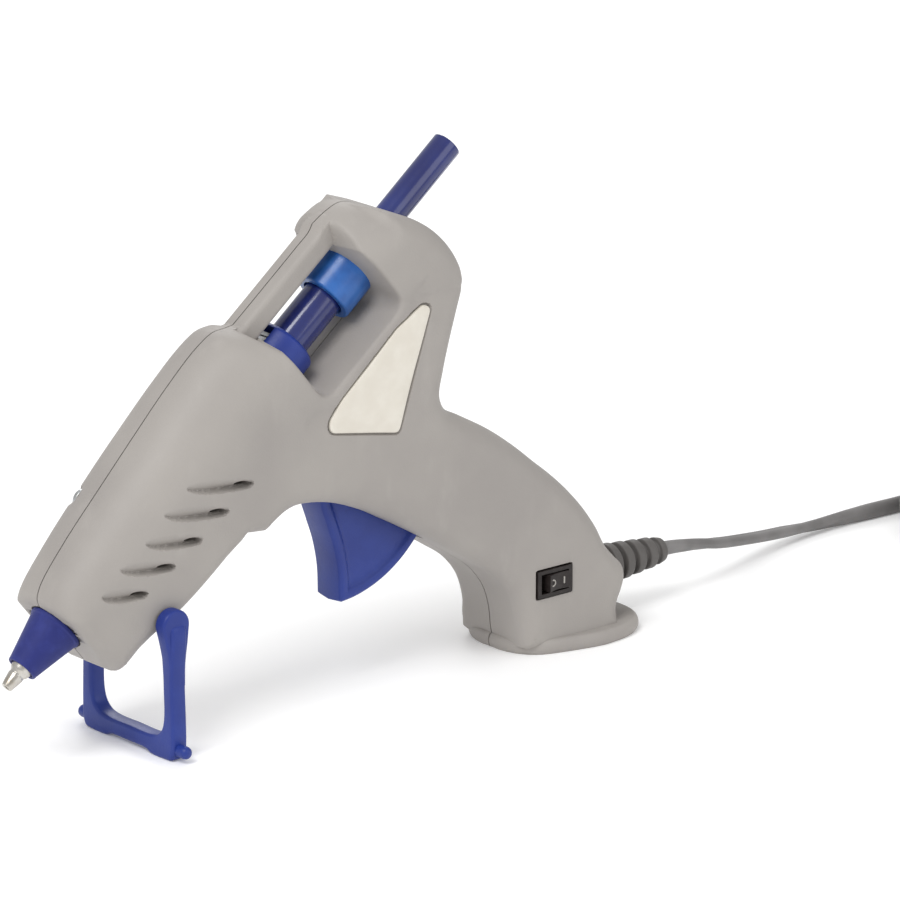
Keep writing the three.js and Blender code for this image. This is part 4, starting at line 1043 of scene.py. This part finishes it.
carriage = join("carriage", [sleeve, *trunnions])
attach(carriage, "carriage")
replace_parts(carriage, "feed_carriage")
feed_tube = turned("feed_tube", rounded_profile(
    [[102, 3.9], [102, 4.8], [124.6, 4.8], [125, 4.4], [125, 3.9], [102, 3.9]], 0.2)[:-1], glue_navy)
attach(feed_tube, "carriage")

# ---- Stand ------------------------------------------------------------------------------------------
# A blue moulded bail: two flat legs on stub pins in the housing's sides, a cross bar between their feet, and
# a stub outside each foot to pull it down by.

stand_x, stand_z = at(34.2, -13.6)
leg_in, leg_out = 13.2, 16.6
bail_depth = 4.3


def endways(u, v, w):
    """Drawn in the end view, thick along the gun."""
    return w, u, v


outer_side = smooth_line([[leg_out, 18], [leg_out, 1.6], [leg_out - 0.9, 0.25], [leg_out - 2.4, 0], [8.4, 0],
                          [6.4, 0.7], [0, 0.8]], 0.7)
inner_side = smooth_line([[0, 4.6], [7.5, 4.6], [10.4, 5.2], [12.3, 6.8], [leg_in, 9.6], [leg_in, 18]], 0.7)
top_side = smooth_line([[leg_in, 18], [leg_in, stand_z], [leg_out, stand_z], [leg_out, 18]], 0.7)
bail_loop = np.concatenate([top_side[:-1], outer_side, (outer_side[:-1] * [-1, 1])[::-1],
                            (top_side * [-1, 1])[::-1][1:-1], (inner_side * [-1, 1])[::-1][:-1],
                            inner_side[:-1]])
bail = slab("bail", bail_loop, stand_x + 0.3, bail_depth / 2, 0.9, moulded_blue, endways, spacing=1.4)
head_turn = np.radians(np.linspace(-12, 196, 24))
head_arc = np.stack([3.75 * np.cos(head_turn), 3.75 * np.sin(head_turn)], 1)
head_sides = smooth_line([head_arc[-1], [-2.7, -4.6], [-1.9, -9], [-1.7, -15]], 0.7)
head_back = smooth_line([[2.4, -15], [2.6, -9], [3.3, -4], head_arc[0]], 0.7)
head_loop = np.concatenate([head_arc[:-1], head_sides, head_back[:-1]]) + [stand_x, stand_z]
heads = [slab(f"leg_{side}", head_loop, side * (leg_in + leg_out) / 2, (leg_out - leg_in) / 2, 0.7,
              moulded_blue, sideways) for side in (-1, 1)]
stubs = [across_gun(f"stub_{side}", stand_x + 0.3, 2.6, (side * 15.6, side * 20),
                    [[0, 1.5], [0.7, 1.5], [0.85, 1.35], [0.95, 1.0], [1, 0.4]], moulded_blue)
         for side in (-1, 1)]
pivots = [across_gun(f"pivot_{side}", stand_x, stand_z, (side * 9.6, side * 14),
                     [[0, 1.2], [0.05, 1.6], [1, 1.6]], moulded_blue) for side in (-1, 1)]
stand = join("bail_stand", [bail, *heads, *stubs, *pivots])
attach(stand, "stand")
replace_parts(stand, "stand")

# ---- Switch -----------------------------------------------------------------------------------------
# A small black rocker switch snaps into the left side of the grip. Its rocker carries two pale printed
# signs, a ring and a bar.

switch_black = Finish("switch_black", Specular_IOR_Level=0.35)
dull = switch_black.noise(0.0006, 2)
handled = switch_black.noise(0.002, 3)
switch_black.set(Base_Color=switch_black.mix(handled.step(0.4, 0.8), shade(34, 28, 27), shade(46, 40, 38)),
                 Roughness=0.38 + dull * 0.2)
switch_black.relief(dull, 0.00003)

sign_print = Finish("sign_print", Roughness=0.6)
sign_print.set(Base_Color=sign_print.mix(sign_print.noise(0.0005, 2), shade(150, 146, 140),
                                         shade(172, 168, 162)))
low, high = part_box("switch_rocker")
rocker_low, rocker_high = np.array(low) / mm, np.array(high) / mm
rocker_x = (rocker_low[0] + rocker_high[0]) / 2 - shift
rocker_z = (rocker_low[2] + rocker_high[2]) / 2
rocker_half, rocker_high_half = 3.25, 2.1
tilt = math.radians(6)
u = np.linspace(-1, 1, 33)
face = np.concatenate([np.stack([u * rocker_half, -3.75 - 0.65 * u ** 2], 1),
                       [[3.1, -0.6], [1.2, 0.4], [-1.2, 0.4], [-3.1, -0.6]]])
rocker_y = rocker_low[1] + 4.75
face_x = rocker_x + face[:, 0] * math.cos(tilt) - face[:, 1] * math.sin(tilt)
face_y = rocker_y + face[:, 0] * math.sin(tilt) + face[:, 1] * math.cos(tilt)
level = np.array([-1, -0.96, -0.88, 0.88, 0.96, 1]) * rocker_high_half
draw_in = np.array([0.93, 0.98, 1, 1, 0.98, 0.93])[:, None]
rocker = grid_piece("rocker", row(rocker_x + (face_x - rocker_x) * draw_in,
                                  rocker_y + (face_y - rocker_y) * draw_in,
                                  rocker_z + level[:, None]), switch_black)
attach(rocker, "rocker")
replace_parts(rocker, "switch_rocker")


def on_rocker(offset):
    """The point of the rocker's face that lies offset along it."""
    depth = -3.75 - 0.65 * (offset / rocker_half) ** 2
    return (rocker_x + offset * math.cos(tilt) - depth * math.sin(tilt),
            rocker_y + offset * math.sin(tilt) + depth * math.cos(tilt))


ring_x, ring_y = on_rocker(-1.9)
round_turn = np.linspace(0, 2 * np.pi, 32, endpoint=False)[:, None]
tube_turn = np.linspace(0, 2 * np.pi, 10, endpoint=False)[None]
ring_radius = 0.72 + 0.17 * np.cos(tube_turn)
ring_grid = row(ring_x + ring_radius * np.cos(round_turn), ring_y + 0.1 * np.sin(tube_turn),
                rocker_z + ring_radius * np.sin(round_turn))
ring = grid_piece("sign_ring", ring_grid, sign_print, wrap_rows=True)
bar_x, bar_y = on_rocker(1.9)
bar = slab("sign_bar", loop_of([[bar_x - 0.2, rocker_z - 0.85], [bar_x + 0.2, rocker_z - 0.85],
                                [bar_x + 0.2, rocker_z + 0.85], [bar_x - 0.2, rocker_z + 0.85]], 0.15, 0.1),
           bar_y, 0.1, 0.05, sign_print, sideways, spacing=0.4)
signs = join("rocker_signs", [ring, bar])
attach(signs, "rocker")

# ---- Strain relief ----------------------------------------------------------------------------------
# A soft grey boot where the cord leaves the grip: a collar held inside, then four ribs that get smaller, with
# deep gaps between them so that it bends.

relief_low, relief_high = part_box("strain_relief")
relief_start, relief_end = relief_low.x / mm - shift, relief_high.x / mm - shift
relief_grey = Finish("relief_grey", Specular_IOR_Level=0.35)
rubbery = relief_grey.noise(0.0007, 3)
relief_grey.set(Base_Color=relief_grey.mix(relief_grey.noise(0.005, 4), shade(84, 81, 79),
                                           shade(100, 97, 95)), Roughness=0.48 + rubbery * 0.16)
relief_grey.relief(rubbery, 0.00003)
relief_corners = [[relief_start, 2.1], [relief_start, 4.6], [relief_start + 2.6, 4.6],
                  [relief_start + 2.6, 3.0], [139.2, 3.0], [139.2, 4.9]]
rib_pitch = 4.0
for rib in range(4):
    start = 141.3 + rib * rib_pitch
    crest, root = 4.75 - rib * 0.38, 2.75 - rib * 0.1
    relief_corners += [[start, crest + 0.15], [start + 0.15, root], [start + 1.55, root],
                       [start + 1.7, crest - 0.2]]
relief_corners += [[relief_end, 2.9], [relief_end, 2.1]]
relief_profile = rounded_profile(relief_corners, 0.4, 4)
around = np.linspace(0, 2 * np.pi, 56, endpoint=False)
relief_grid = row(relief_profile[:, :1], relief_profile[:, 1:] * np.cos(around),
                  12.9 + relief_profile[:, 1:] * np.sin(around))
relief = grid_piece("cord_boot", relief_grid, relief_grey, wrap_rows=True)
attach(relief, "housing")
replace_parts(relief, "strain_relief")

# ---- Housing screws -----------------------------------------------------------------------------------
# Five zinc-plated steel screws close the housing. Each has a pan head with a cross recess and is driven
# from the right side into a post of the left half.

zinc = Finish("zinc_plate", Base_Color=shade(188, 190, 192), Metallic=1.0, Roughness=0.35)
plating = zinc.noise(0.0012, 4)
zinc.set(Base_Color=zinc.mix(plating.step(0.35, 0.8), shade(196, 198, 200), shade(160, 160, 156)),
         Roughness=0.28 + plating * 0.2)
zinc.relief(zinc.noise(0.0003, 2), 0.00001)


def pan_screw(name):
    """A shank, a pointed end and a domed head whose cross recess is pressed into its crown."""
    low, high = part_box(name)
    x, z = (low.x + high.x) / 2 / mm - shift, (low.z + high.z) / 2 / mm
    point, top = low.y / mm, high.y / mm
    seat = top - 1.8
    thread = np.arange(point + 2, seat - 1.5, 0.25)
    body = [[point, 0.15], [point + 1.6, 1.0], *[[y, 1.2 - 0.22 * (k % 2)] for k, y in enumerate(thread)],
            [seat, 1.2], [seat, 2.6], [seat + 0.15, 2.7], [seat + 0.9, 2.7]]
    dome = [[seat + 0.9 + 0.9 * math.sqrt(1 - (r / 2.7) ** 2), r] for r in np.linspace(2.6, 0.1, 24)]
    profile = np.array(body + dome)
    angle = np.linspace(0, 2 * np.pi, 72, endpoint=False)
    radius = profile[:, 1:] + 0 * angle
    across, along = radius * np.cos(angle), radius * np.sin(angle)
    slot = np.minimum(np.abs(across), np.abs(along))
    sunk = soft_step(0.42 - slot, 0, 0.12) * soft_step(1.65 - radius, 0, 0.35) * (profile[:, :1] > seat + 0.9)
    y = profile[:, :1] - 0.85 * sunk
    piece = grid_piece(name + "_threaded", row(x + across, y, z + along), zinc, sharp=50)
    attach(piece, "housing")
    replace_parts(piece, name)


for number in range(1, 6):
    pan_screw(f"housing_screw_{number}")

# ---- Inner pieces -----------------------------------------------------------------------------------
# What the vents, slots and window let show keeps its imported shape: the cast melt chamber with its ceramic
# heater and spring clip, the wiring, the pins, the pawl, the spring and the clamps.

cast_alloy = Finish("cast_alloy", Base_Color=shade(158, 158, 156), Metallic=0.9, Roughness=0.5)
cast = cast_alloy.noise(0.0009, 4)
cast_alloy.set(Base_Color=cast_alloy.mix(cast.step(0.3, 0.8), shade(164, 164, 161), shade(132, 130, 126)),
               Roughness=0.42 + cast * 0.2)
cast_alloy.relief(cast, 0.00008)

heater_white = Finish("heater_white", Roughness=0.75)
chalk = heater_white.noise(0.0008, 4)
heater_white.set(Base_Color=heater_white.mix(chalk.step(0.3, 0.8), shade(226, 222, 212),
                                             shade(204, 196, 180)), Roughness=0.68 + chalk * 0.2)
heater_white.relief(chalk, 0.00004)

wire_white = Finish("wire_white", Roughness=0.5)
sleeve_grain = wire_white.noise(0.0008, 3)
wire_white.set(Base_Color=wire_white.mix(sleeve_grain, shade(226, 224, 218), shade(208, 204, 196)),
               Roughness=0.45 + sleeve_grain * 0.12)
wire_white.relief(sleeve_grain, 0.00002)

kept = {
    cast_alloy: ["melt_chamber"], heater_white: ["heater_element"], silicone_blue: ["inlet_sleeve"],
    zinc: ["heater_clip", "sleeve_clamp", "trigger_pin", "pawl_pin", "grip_pawl", "return_spring",
           "cord_clamp_screw_1", "cord_clamp_screw_2"],
    switch_black: ["switch_body", "cord_clamp"], wire_white: ["wire_switched", "wire_neutral", "wire_live"],
}
for finish, nodes in kept.items():
    for node in nodes:
        for holder in bpy.data.objects[node].material_slots:
            holder.material = finish.material
